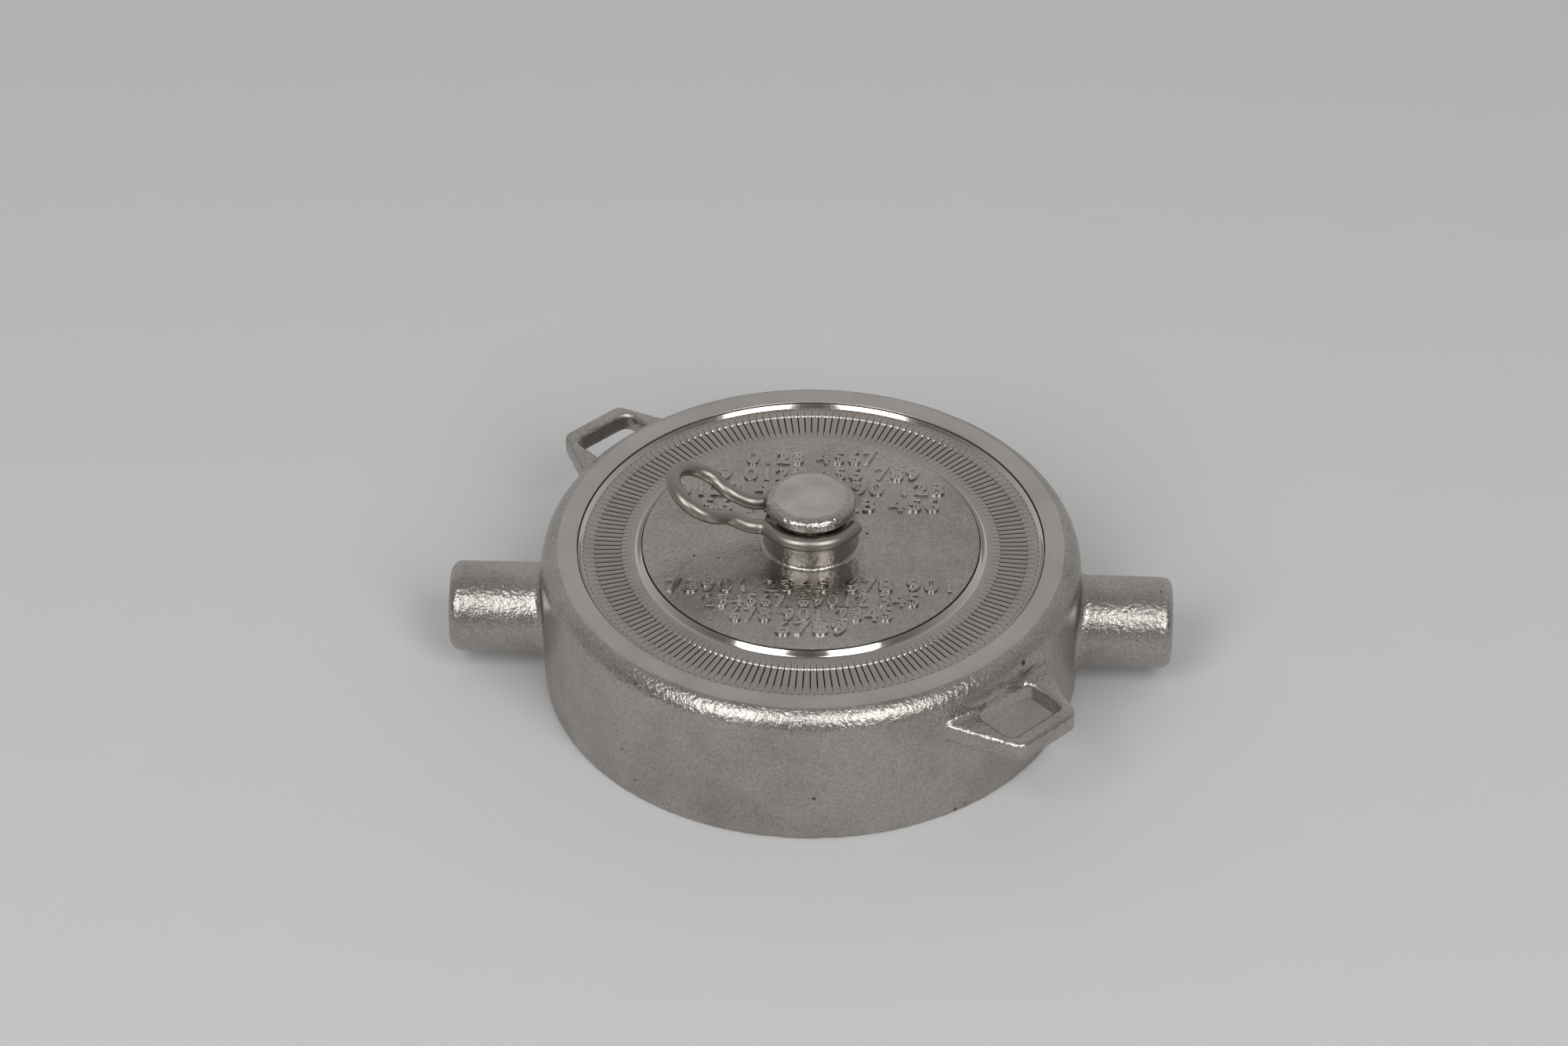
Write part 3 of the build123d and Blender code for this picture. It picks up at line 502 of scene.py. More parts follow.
    links.new(peel.outputs["Fac"], peel_bump.inputs["Height"])
    links.new(grain.outputs["Fac"], grain_bump.inputs["Height"])
    links.new(peel_bump.outputs["Normal"], grain_bump.inputs["Normal"])
    links.new(grain_bump.outputs["Normal"], metal.inputs["Normal"])
    links.new(metal.outputs["BSDF"], output.inputs["Surface"])
    return material


def turned_finish(name, colour, roughness, ring_pitch, ring_depth, scuffs):
    """Metal turned about the stem axis: fine tool rings, a little cloudiness and faint scuffs."""
    material = bpy.data.materials.new(name)
    material.use_nodes = True
    nodes, links = material.node_tree.nodes, material.node_tree.links
    nodes.clear()

    tone = nodes.new("NodeFrame")
    tone.label = "Tone and scuffs"
    place = nodes.new("ShaderNodeTexCoord")
    place.label = "Piece coordinates"
    clouds = nodes.new("ShaderNodeTexNoise")
    clouds.label = "Handling marks"
    clouds.inputs["Scale"].default_value = 70.0
    clouds.inputs["Detail"].default_value = 6.0
    cloud_ramp = nodes.new("ShaderNodeValToRGB")
    cloud_ramp.label = "Mark strength"
    cloud_ramp.color_ramp.elements[0].position = 0.3
    cloud_ramp.color_ramp.elements[0].color = (*[channel * (1 - scuffs) for channel in colour], 1)
    cloud_ramp.color_ramp.elements[1].position = 0.6
    cloud_ramp.color_ramp.elements[1].color = (*colour, 1)
    stretch = nodes.new("ShaderNodeMapping")
    stretch.label = "Slanting scratches"
    stretch.inputs["Rotation"].default_value = (0.3, 0.2, 0.9)
    stretch.inputs["Scale"].default_value = (12.0, 1.0, 1.0)
    scratches = nodes.new("ShaderNodeTexNoise")
    scratches.label = "Scratches"
    scratches.inputs["Scale"].default_value = 160.0
    scratches.inputs["Detail"].default_value = 3.0
    scratch_range = nodes.new("ShaderNodeMapRange")
    scratch_range.label = "Roughness with scratches"
    scratch_range.inputs["From Min"].default_value = 0.35
    scratch_range.inputs["From Max"].default_value = 0.7
    scratch_range.inputs["To Min"].default_value = roughness
    scratch_range.inputs["To Max"].default_value = roughness + 0.35 * scuffs + 0.02

    rings = nodes.new("NodeFrame")
    rings.label = "Tool rings"
    wave = nodes.new("ShaderNodeTexWave")
    wave.label = "Rings about the stem"
    wave.wave_type = "RINGS"
    wave.rings_direction = "Z"
    wave.inputs["Scale"].default_value = 0.314 / ring_pitch
    wave.inputs["Distortion"].default_value = 0.4
    wave.inputs["Detail"].default_value = 1.0
    ring_bump = nodes.new("ShaderNodeBump")
    ring_bump.label = "Ring relief"
    ring_bump.inputs["Strength"].default_value = 1.0
    ring_bump.inputs["Distance"].default_value = ring_depth
    fine = nodes.new("ShaderNodeTexNoise")
    fine.label = "Fine unevenness"
    fine.inputs["Scale"].default_value = 700.0
    fine.inputs["Detail"].default_value = 2.0
    fine_bump = nodes.new("ShaderNodeBump")
    fine_bump.label = "Fine relief"
    fine_bump.inputs["Strength"].default_value = 1.0
    fine_bump.inputs["Distance"].default_value = ring_depth

    result = nodes.new("NodeFrame")
    result.label = "Surface"
    metal = nodes.new("ShaderNodeBsdfPrincipled")
    metal.label = "Turned metal"
    metal.inputs["Metallic"].default_value = 1.0
    output = nodes.new("ShaderNodeOutputMaterial")
    output.label = "Material"

    arrange([
        (tone, [place, clouds, cloud_ramp, stretch, scratches, scratch_range]),
        (rings, [wave, ring_bump, fine, fine_bump]),
        (result, [metal, output]),
    ])
    links.new(place.outputs["Object"], clouds.inputs["Vector"])
    links.new(place.outputs["Object"], stretch.inputs["Vector"])
    links.new(place.outputs["Object"], wave.inputs["Vector"])
    links.new(place.outputs["Object"], fine.inputs["Vector"])
    links.new(clouds.outputs["Fac"], cloud_ramp.inputs["Fac"])
    links.new(cloud_ramp.outputs["Color"], metal.inputs["Base Color"])
    links.new(stretch.outputs["Vector"], scratches.inputs["Vector"])
    links.new(scratches.outputs["Fac"], scratch_range.inputs["Value"])
    links.new(scratch_range.outputs["Result"], metal.inputs["Roughness"])
    links.new(wave.outputs["Fac"], ring_bump.inputs["Height"])
    links.new(fine.outputs["Fac"], fine_bump.inputs["Height"])
    links.new(ring_bump.outputs["Normal"], fine_bump.inputs["Normal"])
    links.new(fine_bump.outputs["Normal"], metal.inputs["Normal"])
    links.new(metal.outputs["BSDF"], output.inputs["Surface"])
    return material


def moulded_finish(name, colour, roughness, speck_size, speck_depth):
    """Rubber, seal or gasket stock: mottled tone and a fine moulded grain."""
    material = bpy.data.materials.new(name)
    material.use_nodes = True
    nodes, links = material.node_tree.nodes, material.node_tree.links
    nodes.clear()

    tone = nodes.new("NodeFrame")
    tone.label = "Mottled tone"
    place = nodes.new("ShaderNodeTexCoord")
    place.label = "Piece coordinates"
    mottle = nodes.new("ShaderNodeTexNoise")
    mottle.label = "Mottling"
    mottle.inputs["Scale"].default_value = 220.0
    mottle.inputs["Detail"].default_value = 5.0
    mottle_ramp = nodes.new("ShaderNodeValToRGB")
    mottle_ramp.label = "Mottle strength"
    mottle_ramp.color_ramp.elements[0].position = 0.35
    mottle_ramp.color_ramp.elements[0].color = (*[channel * 0.75 for channel in colour], 1)
    mottle_ramp.color_ramp.elements[1].position = 0.65
    mottle_ramp.color_ramp.elements[1].color = (*colour, 1)

    relief = nodes.new("NodeFrame")
    relief.label = "Moulded grain"
    specks = nodes.new("ShaderNodeTexNoise")
    specks.label = "Grain"
    specks.inputs["Scale"].default_value = 1 / speck_size
    speck_bump = nodes.new("ShaderNodeBump")
    speck_bump.label = "Grain relief"
    speck_bump.inputs["Distance"].default_value = speck_depth
    sheen_range = nodes.new("ShaderNodeMapRange")
    sheen_range.label = "Roughness range"
    sheen_range.inputs["To Min"].default_value = roughness - 0.08
    sheen_range.inputs["To Max"].default_value = roughness + 0.08

    result = nodes.new("NodeFrame")
    result.label = "Surface"
    stock = nodes.new("ShaderNodeBsdfPrincipled")
    stock.label = "Moulded stock"
    output = nodes.new("ShaderNodeOutputMaterial")
    output.label = "Material"

    arrange([
        (tone, [place, mottle, mottle_ramp]),
        (relief, [specks, speck_bump, sheen_range]),
        (result, [stock, output]),
    ])
    links.new(place.outputs["Object"], mottle.inputs["Vector"])
    links.new(place.outputs["Object"], specks.inputs["Vector"])
    links.new(mottle.outputs["Fac"], mottle_ramp.inputs["Fac"])
    links.new(mottle_ramp.outputs["Color"], stock.inputs["Base Color"])
    links.new(specks.outputs["Fac"], speck_bump.inputs["Height"])
    links.new(specks.outputs["Fac"], sheen_range.inputs["Value"])
    links.new(sheen_range.outputs["Result"], stock.inputs["Roughness"])
    links.new(speck_bump.outputs["Normal"], stock.inputs["Normal"])
    links.new(stock.outputs["BSDF"], output.inputs["Surface"])
    return material


def paper_finish(name, colour):
    """Matte studio paper with a barely visible tooth."""
    material = bpy.data.materials.new(name)
    material.use_nodes = True
    nodes, links = material.node_tree.nodes, material.node_tree.links
    nodes.clear()

    paper_frame = nodes.new("NodeFrame")
    paper_frame.label = "Paper"
    place = nodes.new("ShaderNodeTexCoord")
    place.label = "Floor coordinates"
    tooth = nodes.new("ShaderNodeTexNoise")
    tooth.label = "Paper tooth"
    tooth.inputs["Scale"].default_value = 60.0
    tooth.inputs["Detail"].default_value = 4.0
    tooth_ramp = nodes.new("ShaderNodeValToRGB")
    tooth_ramp.label = "Tooth strength"
    tooth_ramp.color_ramp.elements[0].color = (*[channel * 0.985 for channel in colour], 1)
    tooth_ramp.color_ramp.elements[1].color = (*colour, 1)
    sheet = nodes.new("ShaderNodeBsdfPrincipled")
    sheet.label = "Matte paper"
    sheet.inputs["Roughness"].default_value = 0.9
    sheet.inputs["Specular IOR Level"].default_value = 0.2
    output = nodes.new("ShaderNodeOutputMaterial")
    output.label = "Material"

    arrange([(paper_frame, [place, tooth, tooth_ramp, sheet, output])])
    links.new(place.outputs["Object"], tooth.inputs["Vector"])
    links.new(tooth.outputs["Fac"], tooth_ramp.inputs["Fac"])
    links.new(tooth_ramp.outputs["Color"], sheet.inputs["Base Color"])
    links.new(sheet.outputs["BSDF"], output.inputs["Surface"])
    return material


class VENT_OT_finishes(bpy.types.Operator):
    """Make every finish that the vent's pieces use"""

    bl_idname = "vent.finishes"
    bl_label = "Finishes"

    def execute(self, context):
        colours = context.scene.vent_colours
        clean, shade, turned = tuple(colours.casting), tuple(colours.casting_shade), tuple(colours.turned)
        polished, wire = tuple(colours.polished), tuple(colours.wire)
        cast = (
            ("blasted casting", clean, shade, 0.29, 0.0012, 0.00026, 0.20),
            ("satin cover", clean, shade, 0.29, 0.0012, 0.00016, 0.14),
            ("bright cast edge", turned, shade, 0.22, 0.0009, 0.00024, 0.10),
            ("raised cast edge", turned, shade, 0.17, 0.0008, 0.00002, 0.04),
        )
        lathe = (
            ("machined land", turned, 0.34, 0.0004, 0.000002, 0.12),
            ("polished rim", polished, 0.10, 0.0009, 0.0000012, 0.03),
            ("linished top", polished, 0.34, 0.0007, 0.000002, 0.30),
            ("warm screen", tuple(colours.screen), 0.33, 0.0006, 0.000003, 0.10),
            ("turned bore", turned, 0.30, 0.0005, 0.000006, 0.10),
            ("drawn wire", wire, 0.34, 0.0040, 0.000004, 0.10),
            ("rolled plate", turned, 0.38, 0.0030, 0.000004, 0.15),
            ("bright fastener", polished, 0.22, 0.0008, 0.000003, 0.08),
            ("sintered bronze", tuple(colours.bronze), 0.40, 0.0006, 0.000008, 0.25),
        )
        moulded = (
            ("black rubber", tuple(colours.rubber), 0.55, 0.0006, 0.00002),
            ("brown seal", tuple(colours.seal), 0.50, 0.0008, 0.00002),
            ("gasket sheet", tuple(colours.gasket), 0.70, 0.0007, 0.00004),
        )
        for make, rows in ((cast_finish, cast), (turned_finish, lathe), (moulded_finish, moulded)):
            for row in rows:
                make(*row)
        return {"FINISHED"}


# ---- Casting ---------------------------------------------------------------------------


def raw_casting(sizes):
    """The casting before machining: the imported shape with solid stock, as one even skin."""
    bm = bmesh.new()
    bm.from_mesh(NODES["body_casting"].data)
    bmesh.ops.remove_doubles(bm, verts=bm.verts, dist=FINE)
    crown = BODY_HIGH.z + sizes.wall_round * sizes.crown
    wall = BODY_HIGH.y
    stock = rounded([(0, 0, 0), (wall, 0, 0), (wall, crown, sizes.wall_round), (0, crown, 0)], steps=12)
    turn_outline(bm, stock)
    raw = as_object(bm, "casting_skin")
    even = raw.modifiers.new("Even skin", "REMESH")
    even.mode = "VOXEL"
    even.voxel_size = sizes.skin_step
    blast = raw.modifiers.new("Blasted edges", "SMOOTH")
    blast.factor = 0.5
    blast.iterations = 5
    settled(raw)
    bm = bmesh.new()
    bm.from_mesh(raw.data)
    roughen(bm, sizes.unevenness, sizes.uneven_span, sizes.peel, sizes.peel_span)
    bm.to_mesh(raw.data)
    bm.free()
    return raw


def machining_cutter(sizes):
    """Everything that turning removes from the casting, as one closed solid of revolution."""
    land = BODY_HIGH.z
    wall = BODY_HIGH.y
    clear = 10 * CLEAR
    seat_inner = sizes.jacket_inner - sizes.jacket_lip
    seat_outer = sizes.jacket_outer + sizes.jacket_lip
    thread = thread_outline(
        sizes.socket_chamfer, sizes.socket_top, sizes.socket, sizes.socket_depth, sizes.socket_pitch
    )
    corners = [
        (0, land + clear, 0),
        (wall + clear, land + clear, 0),
        (wall + clear, land, 0),
        (sizes.land_inner, land, 0.0002),
        (sizes.land_inner, sizes.ledge, 0),
        (sizes.chamber, sizes.ledge, 0),
        (sizes.chamber, sizes.deck_top, 0.0015),
        (sizes.seat_hole, sizes.deck_top, 0),
        (sizes.seat_hole, sizes.deck_low, 0),
        (sizes.socket_groove, sizes.deck_low, 0),
        (sizes.socket_groove, sizes.socket_top, 0),
        *reversed(thread),
        (sizes.socket + sizes.socket_chamfer, 0, 0),
        (seat_inner, 0, 0),
        (seat_inner, sizes.jacket_low, 0),
        (sizes.jacket_inner, sizes.jacket_low, 0),
        (sizes.jacket_inner, sizes.jacket_top, 0.001),
        (sizes.jacket_outer, sizes.jacket_top, 0.001),
        (sizes.jacket_outer, sizes.jacket_low, 0),
        (seat_outer, sizes.jacket_low, 0),
        (seat_outer, 0, 0),
        (wall - sizes.foot_break, 0, 0),
        (wall + sizes.foot_break, 2 * sizes.foot_break, 0),
        (wall + clear, 2 * sizes.foot_break, 0),
        (wall + clear, -clear, 0),
        (0, -clear, 0),
    ]
    bm = bmesh.new()
    turn_outline(bm, rounded(corners, steps=3), steps=256)
    return as_object(bm, "machining")


def port_cutter(sizes, side):
    """The threaded port and its bore, along X on one side of the body."""
    mouth = BODY_HIGH.x
    bore_end = mouth - sizes.jacket_outer + 0.003
    thread = thread_outline(
        sizes.port_start, sizes.port_length, sizes.port_thread, sizes.port_depth, sizes.port_pitch
    )
    corners = [
        (0, -CLEAR, 0),
        (sizes.port_thread + sizes.port_flare, -CLEAR, 0),
        *thread,
        (sizes.port_bore, sizes.port_length + 0.0004, 0),
        (sizes.port_bore, bore_end, 0),
        (0, bore_end, 0),
    ]
    bm = bmesh.new()
    turn_outline(bm, rounded(corners), steps=72)
    turn = Euler((0, -side * math.pi / 2, 0)).to_matrix().to_4x4()
    place = Matrix.Translation((side * mouth, 0, sizes.port_height)) @ turn
    bmesh.ops.transform(bm, matrix=place, verts=bm.verts)
    return as_object(bm, "port")


def screw_cutter(sizes):
    """Counterbores and clearance holes for the cover screws."""
    bm = bmesh.new()
    counterbore = (sizes.counterbore, -CLEAR, sizes.counterbore_depth)
    hole = (sizes.screw_hole, sizes.counterbore_depth - 0.0005, sizes.deck_top + 0.001)
    for radius, low, high in (counterbore, hole):
        for quarter in range(4):
            turn = Matrix.Rotation(math.radians(45 + 90 * quarter), 4, "Z")
            place = turn @ Matrix.Translation((sizes.screw_circle, 0, (low + high) / 2))
            bmesh.ops.create_cone(
                bm,
                cap_ends=True,
                segments=48,
                radius1=radius,
                radius2=radius,
                depth=high - low,
                matrix=place,
            )
    return as_object(bm, "screw_holes")


class VENT_OT_casting(bpy.types.Operator):
    """Cast body with its stubs and window lugs, machined at the land, bores and ports"""

    bl_idname = "vent.casting"
    bl_label = "Body casting"

    def execute(self, context):
        sizes = context.scene.vent_casting
        body = raw_casting(sizes)
        cut_with(body, machining_cutter(sizes), "Turning")
        for side in (-1, 1):
            cut_with(body, port_cutter(sizes, side), "Port")
        cut_with(body, screw_cutter(sizes), "Screw holes")
        body.data.materials.clear()
        coat(body, "blasted casting", "machined land", "turned bore")
        thread_reach = sizes.port_thread + 0.0014
        for face in body.data.polygons:
            centre = face.center
            reach = reach_of(centre)
            from_port = math.hypot(centre.y, centre.z - sizes.port_height)
            on_land = face.normal.z > 0.999 and abs(centre.z - BODY_HIGH.z) < ON_FACE
            in_port = abs(centre.x) > sizes.jacket_outer and from_port < thread_reach
            in_bore = reach < sizes.land_inner + 0.0004
            in_jacket = centre.z < sizes.jacket_top + 0.0011 and reach < sizes.jacket_outer + 0.0007
            if on_land:
                face.material_index = 1
            elif in_bore or in_jacket or in_port or centre.z < ON_FACE:
                face.material_index = 2
        body.data.shade_smooth()
        body.data.set_sharp_from_angle(angle=math.radians(32))
        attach(body, "valve_body")
        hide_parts("body_casting")
        return {"FINISHED"}


# ---- Screen ----------------------------------------------------------------------------


class VENT_OT_screen(bpy.types.Operator):
    """Dished screen ring: two polished lips and a floor of rounded ribs between radial slots"""

    bl_idname = "vent.screen"
    bl_label = "Slotted screen"

    def execute(self, context):
        sizes = context.scene.vent_screen
        low = SCREEN_LOW.z
        inner, outer = sizes.inner_lip, SCREEN_HIGH.x
        run_in = (SCREEN_HIGH.z - sizes.floor) / math.tan(sizes.slope)
        run_out = (sizes.outer_lip - sizes.floor) / math.tan(sizes.slope)
        bm = bmesh.new()
        inner_rim = [
            (inner, low, 0),
            (sizes.slot_inner, low, 0),
            (sizes.slot_inner, sizes.floor, 0),
            (inner + run_in, sizes.floor, sizes.cove),
            (inner, SCREEN_HIGH.z, 0.00008),
        ]
        outer_rim = [
            (sizes.slot_outer, low, 0),
            (outer, low, 0),
            (outer, sizes.outer_lip, 0.00008),
            (outer - run_out, sizes.floor, 0.0004),
            (sizes.slot_outer, sizes.floor, 0),
        ]
        for rim in (inner_rim, outer_rim):
            made = turn_outline(bm, rounded(rim, steps=10), steps=2 * sizes.slots)
            for face in made:
                on_lip = abs(face.normal.z) < 0.93 and face.calc_center_median().z > sizes.floor
                face.material_index = 1 if on_lip else 0
        rims = set(bm.verts)

        # One rib: its section along the radius, spun over the rib's width, crowned and closed below.
        # Its ends run a little into the rims.
        half_pitch = math.pi / sizes.slots
        sunk = sizes.floor - sizes.band_depth
        step = 0.0003  # length of the slope at a border of the band
        section = [
            (sizes.slot_inner - step, sizes.floor),
            ((sizes.slot_inner + sizes.band_inner) / 2, sizes.floor),
            (sizes.band_inner - step / 2, sizes.floor),
            (sizes.band_inner + step / 2, sunk),
            (sizes.band_inner + 4 * step, sunk),
            (sizes.band_outer - 4 * step, sunk),
            (sizes.band_outer - step / 2, sunk),
            (sizes.band_outer + step / 2, sizes.floor),
            (sizes.slot_outer + step, sizes.floor),
        ]
        verts = [bm.verts.new((radius, 0, height)) for radius, height in section]
        edges = [bm.edges.new(pair) for pair in zip(verts, verts[1:])]
        bmesh.ops.spin(
            bm,
            geom=verts + edges,
            cent=(0, 0, 0),
            axis=(0, 0, 1),
            angle=2 * half_pitch,
            steps=6,
            use_merge=False,
        )
        rib = [vert for vert in bm.verts if vert not in rims]
        tick_length = sizes.slot_outer - sizes.band_outer
        for vert in rib:
            reach = reach_of(vert.co)
            share = math.atan2(vert.co.y, vert.co.x) / half_pitch - 1
            in_band = sizes.band_inner <= reach <= sizes.band_outer
            gap = sizes.slot_width if in_band else sizes.tick_width
            past = max(sizes.band_inner - reach, reach - sizes.band_outer, 0) / tick_length
            gap = gap * max(1 - sizes.taper * past, sizes.thinnest)
            width = half_pitch - gap / 2 / reach
            crown = sizes.band_crown if in_band else sizes.tick_crown * max(1 - past, 0)
            vert.co = Vector((
                reach * math.cos(share * width),
                reach * math.sin(share * width),
                vert.co.z - crown * abs(share) ** 3,
            ))
        tops = [face for face in bm.faces if face.verts[0] not in rims]
        bmesh.ops.recalc_face_normals(bm, faces=tops)
        if tops[0].normal.z < 0:
            bmesh.ops.reverse_faces(bm, faces=tops)
        sunk_part = bmesh.ops.extrude_face_region(bm, geom=tops, use_keep_orig=True)
        for vert in parts_of(sunk_part["geom"], bmesh.types.BMVert):
            vert.co.z = low + sizes.rib_lift
        lower_faces = parts_of(sunk_part["geom"], bmesh.types.BMFace)
        bmesh.ops.dissolve_faces(bm, faces=lower_faces, use_verts=False)
        rib_faces = [face for face in bm.faces if face.verts[0] not in rims]
        bmesh.ops.recalc_face_normals(bm, faces=rib_faces)
        rib_parts = [vert for vert in bm.verts if vert not in rims]
        rib_parts += [edge for edge in bm.edges if edge.verts[0] not in rims]
        rib_parts += rib_faces
        bmesh.ops.spin(
            bm,
            geom=rib_parts,
            cent=(0, 0, 0),
            axis=(0, 0, 1),
            angle=math.tau * (sizes.slots - 1) / sizes.slots,
            steps=sizes.slots - 1,
            use_duplicate=True,
        )
        screen = as_object(bm, "slotted_screen", crease=40)
        coat(screen, "warm screen", "polished rim")
        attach(screen, "valve_body")
        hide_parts("screen_ring")
        return {"FINISHED"}


# ---- Cover -----------------------------------------------------------------------------


class VENT_OT_cover(bpy.types.Operator):
    """Cover disc with its stem boss, spring pocket and flange"""

    bl_idname = "vent.cover"
    bl_label = "Cover disc"

    def execute(self, context):
        sizes = context.scene.vent_cover
        ledge = SCREEN_LOW.z
        outline = [
            (sizes.bush, COVER_HIGH.z, 0.0003),
            (sizes.boss, COVER_HIGH.z, 0.0009),
            (sizes.boss, sizes.top, sizes.boss_root),
            (sizes.radius, sizes.top, 0.00025),
            (sizes.radius, ledge, 0),
            (COVER_HIGH.x, ledge, 0.0003),
            (COVER_HIGH.x, COVER_LOW.z, 0.0005),
            (sizes.rib_inner, COVER_LOW.z, 0.0005),
            (sizes.rib_inner, sizes.underside, 0.001),
            (sizes.skirt, sizes.underside, 0.001),
            (sizes.skirt, sizes.skirt_low, 0.0005),
            (sizes.pocket, sizes.skirt_low, 0.0003),
            (sizes.pocket, sizes.pocket_top, 0),
            (sizes.bush, sizes.pocket_top, 0),
        ]
        bm = bmesh.new()
        turn_outline(bm, finer(rounded(outline, steps=8), 0.0011), steps=360)
        roughen(
            bm,
            sizes.unevenness,
            sizes.uneven_span,
            sizes.peel,
            sizes.peel_span,
            lambda vert: vert.co.z < sizes.top - 0.0001,
        )
        cover = as_object(bm, "cover_plate")
        coat(cover, "satin cover", "turned bore")
        for face in cover.data.polygons:
            if face.center.z < sizes.top - 0.0003 or reach_of(face.center) < sizes.bush + 0.0002:
                face.material_index = 1
        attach(cover, "valve_body")
        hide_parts("cover_disc")
        return {"FINISHED"}


class VENT_OT_figures(bpy.types.Operator):
    """Rows of plain raised figures on the cover, counting through 0 to 9"""

    bl_idname = "vent.figures"
    bl_label = "Raised figures"

    def execute(self, context):
        sizes = context.scene.vent_cover
        turn = context.scene.vent_clip.turn
        bm = bmesh.new()
        count = 0
        for height, width, groups in FIGURE_ROWS:
            words = []
            for group in groups:
                words.append("".join(str((count + place) % 10) for place in range(group)))
                count += group
            line = bpy.data.curves.new("figures", "FONT")
            line.body = " ".join(words)
            line.align_x = "CENTER"
            line.align_y = "CENTER"
            line.size = sizes.figure_height / CAP_SHARE
            line.space_character = 1.18
            line.offset = sizes.figure_swell
            line.extrude = 0.0005
            line.bevel_depth = sizes.figure_round
            line.bevel_resolution = 2
            line.resolution_u = 5
            text = bpy.data.objects.new("figures", line)
            bpy.context.scene.collection.objects.link(text)
            bpy.context.view_layer.update()
            graph = bpy.context.evaluated_depsgraph_get()
            mesh = bpy.data.meshes.new_from_object(text.evaluated_get(graph))
            squeeze = width / (max(vert.co.x for vert in mesh.vertices) * 2)
            top = max(vert.co.z for vert in mesh.vertices)
            place = (
                Matrix.Rotation(turn, 4, "Z")
                @ Matrix.Translation((0, height, sizes.top + sizes.figure_rise - top))
                @ Matrix.Diagonal((squeeze, 1, 1, 1))
            )
            mesh.transform(place)
            bm.from_mesh(mesh)
            bpy.data.objects.remove(text)
        bmesh.ops.remove_doubles(bm, verts=bm.verts, dist=FINE)
        bmesh.ops.recalc_face_normals(bm, faces=bm.faces)
        figures = as_object(bm, "raised_figures", crease=50)
        coat(figures, "raised cast edge")
        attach(figures, "valve_body")
        return {"FINISHED"}


# ---- Knob ------------------------------------------------------------------------------


class VENT_OT_knob(bpy.types.Operator):
    """Lift knob: cast rim with a linished top, and a neck with the cross pin's hole"""

    bl_idname = "vent.knob"
    bl_label = "Lift knob"

    def execute(self, context):
        sizes = context.scene.vent_knob
        outline = [
            (0, KNOB_HIGH.z, 0),
            (KNOB_HIGH.x, KNOB_HIGH.z, sizes.top_round),
            (KNOB_HIGH.x, sizes.rim_low, sizes.under_round),
            (sizes.neck, sizes.rim_low, 0.0003),
            (sizes.neck, KNOB_LOW.z, 0.0003),
            (sizes.stem_hole, KNOB_LOW.z, 0),
            (sizes.stem_hole, STEM_HIGH.z, 0),
            (0, STEM_HIGH.z, 0),
        ]
        bm = bmesh.new()
        turn_outline(bm, finer(rounded(outline, steps=10), 0.0006), steps=240)
        flat = KNOB_HIGH.x - sizes.top_round - 0.0003
        hollow = sizes.neck - 0.001

        def machined(vert):
            """True on the linished top and in the stem's hole."""
            reach, height = reach_of(vert.co), vert.co.z
            on_top = height > KNOB_HIGH.z - FINE and reach < flat
            in_hole = height < KNOB_HIGH.z - 0.001 and reach < hollow
            return on_top or in_hole

        roughen(bm, sizes.dent, sizes.dent_span, sizes.grain, sizes.grain_span, machined)
        knob = as_object(bm, "pull_knob", crease=60)
        hole = bmesh.new()
        bmesh.ops.create_cone(
            hole,
            cap_ends=True,
            segments=40,
            radius1=sizes.pin_hole,
            radius2=sizes.pin_hole,
            depth=4 * sizes.neck,
            matrix=Matrix.Translation((0, 0, sizes.pin_height)) @ Matrix.Rotation(math.pi / 2, 4, "Y"),
        )
        cut_with(knob, as_object(hole, "pin_hole"), "Pin hole")
        knob.data.materials.clear()
        coat(knob, "bright cast edge", "linished top")
        for face in knob.data.polygons:
            on_top = face.normal.z > 0.99 and face.center.z > KNOB_HIGH.z - 0.0001
            face.material_index = 1 if on_top else 0
        knob.data.shade_smooth()
        knob.data.set_sharp_from_angle(angle=math.radians(50))
        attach(knob, "lift_stem")
        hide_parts("lift_knob")
        return {"FINISHED"}


# ---- Clip ------------------------------------------------------------------------------


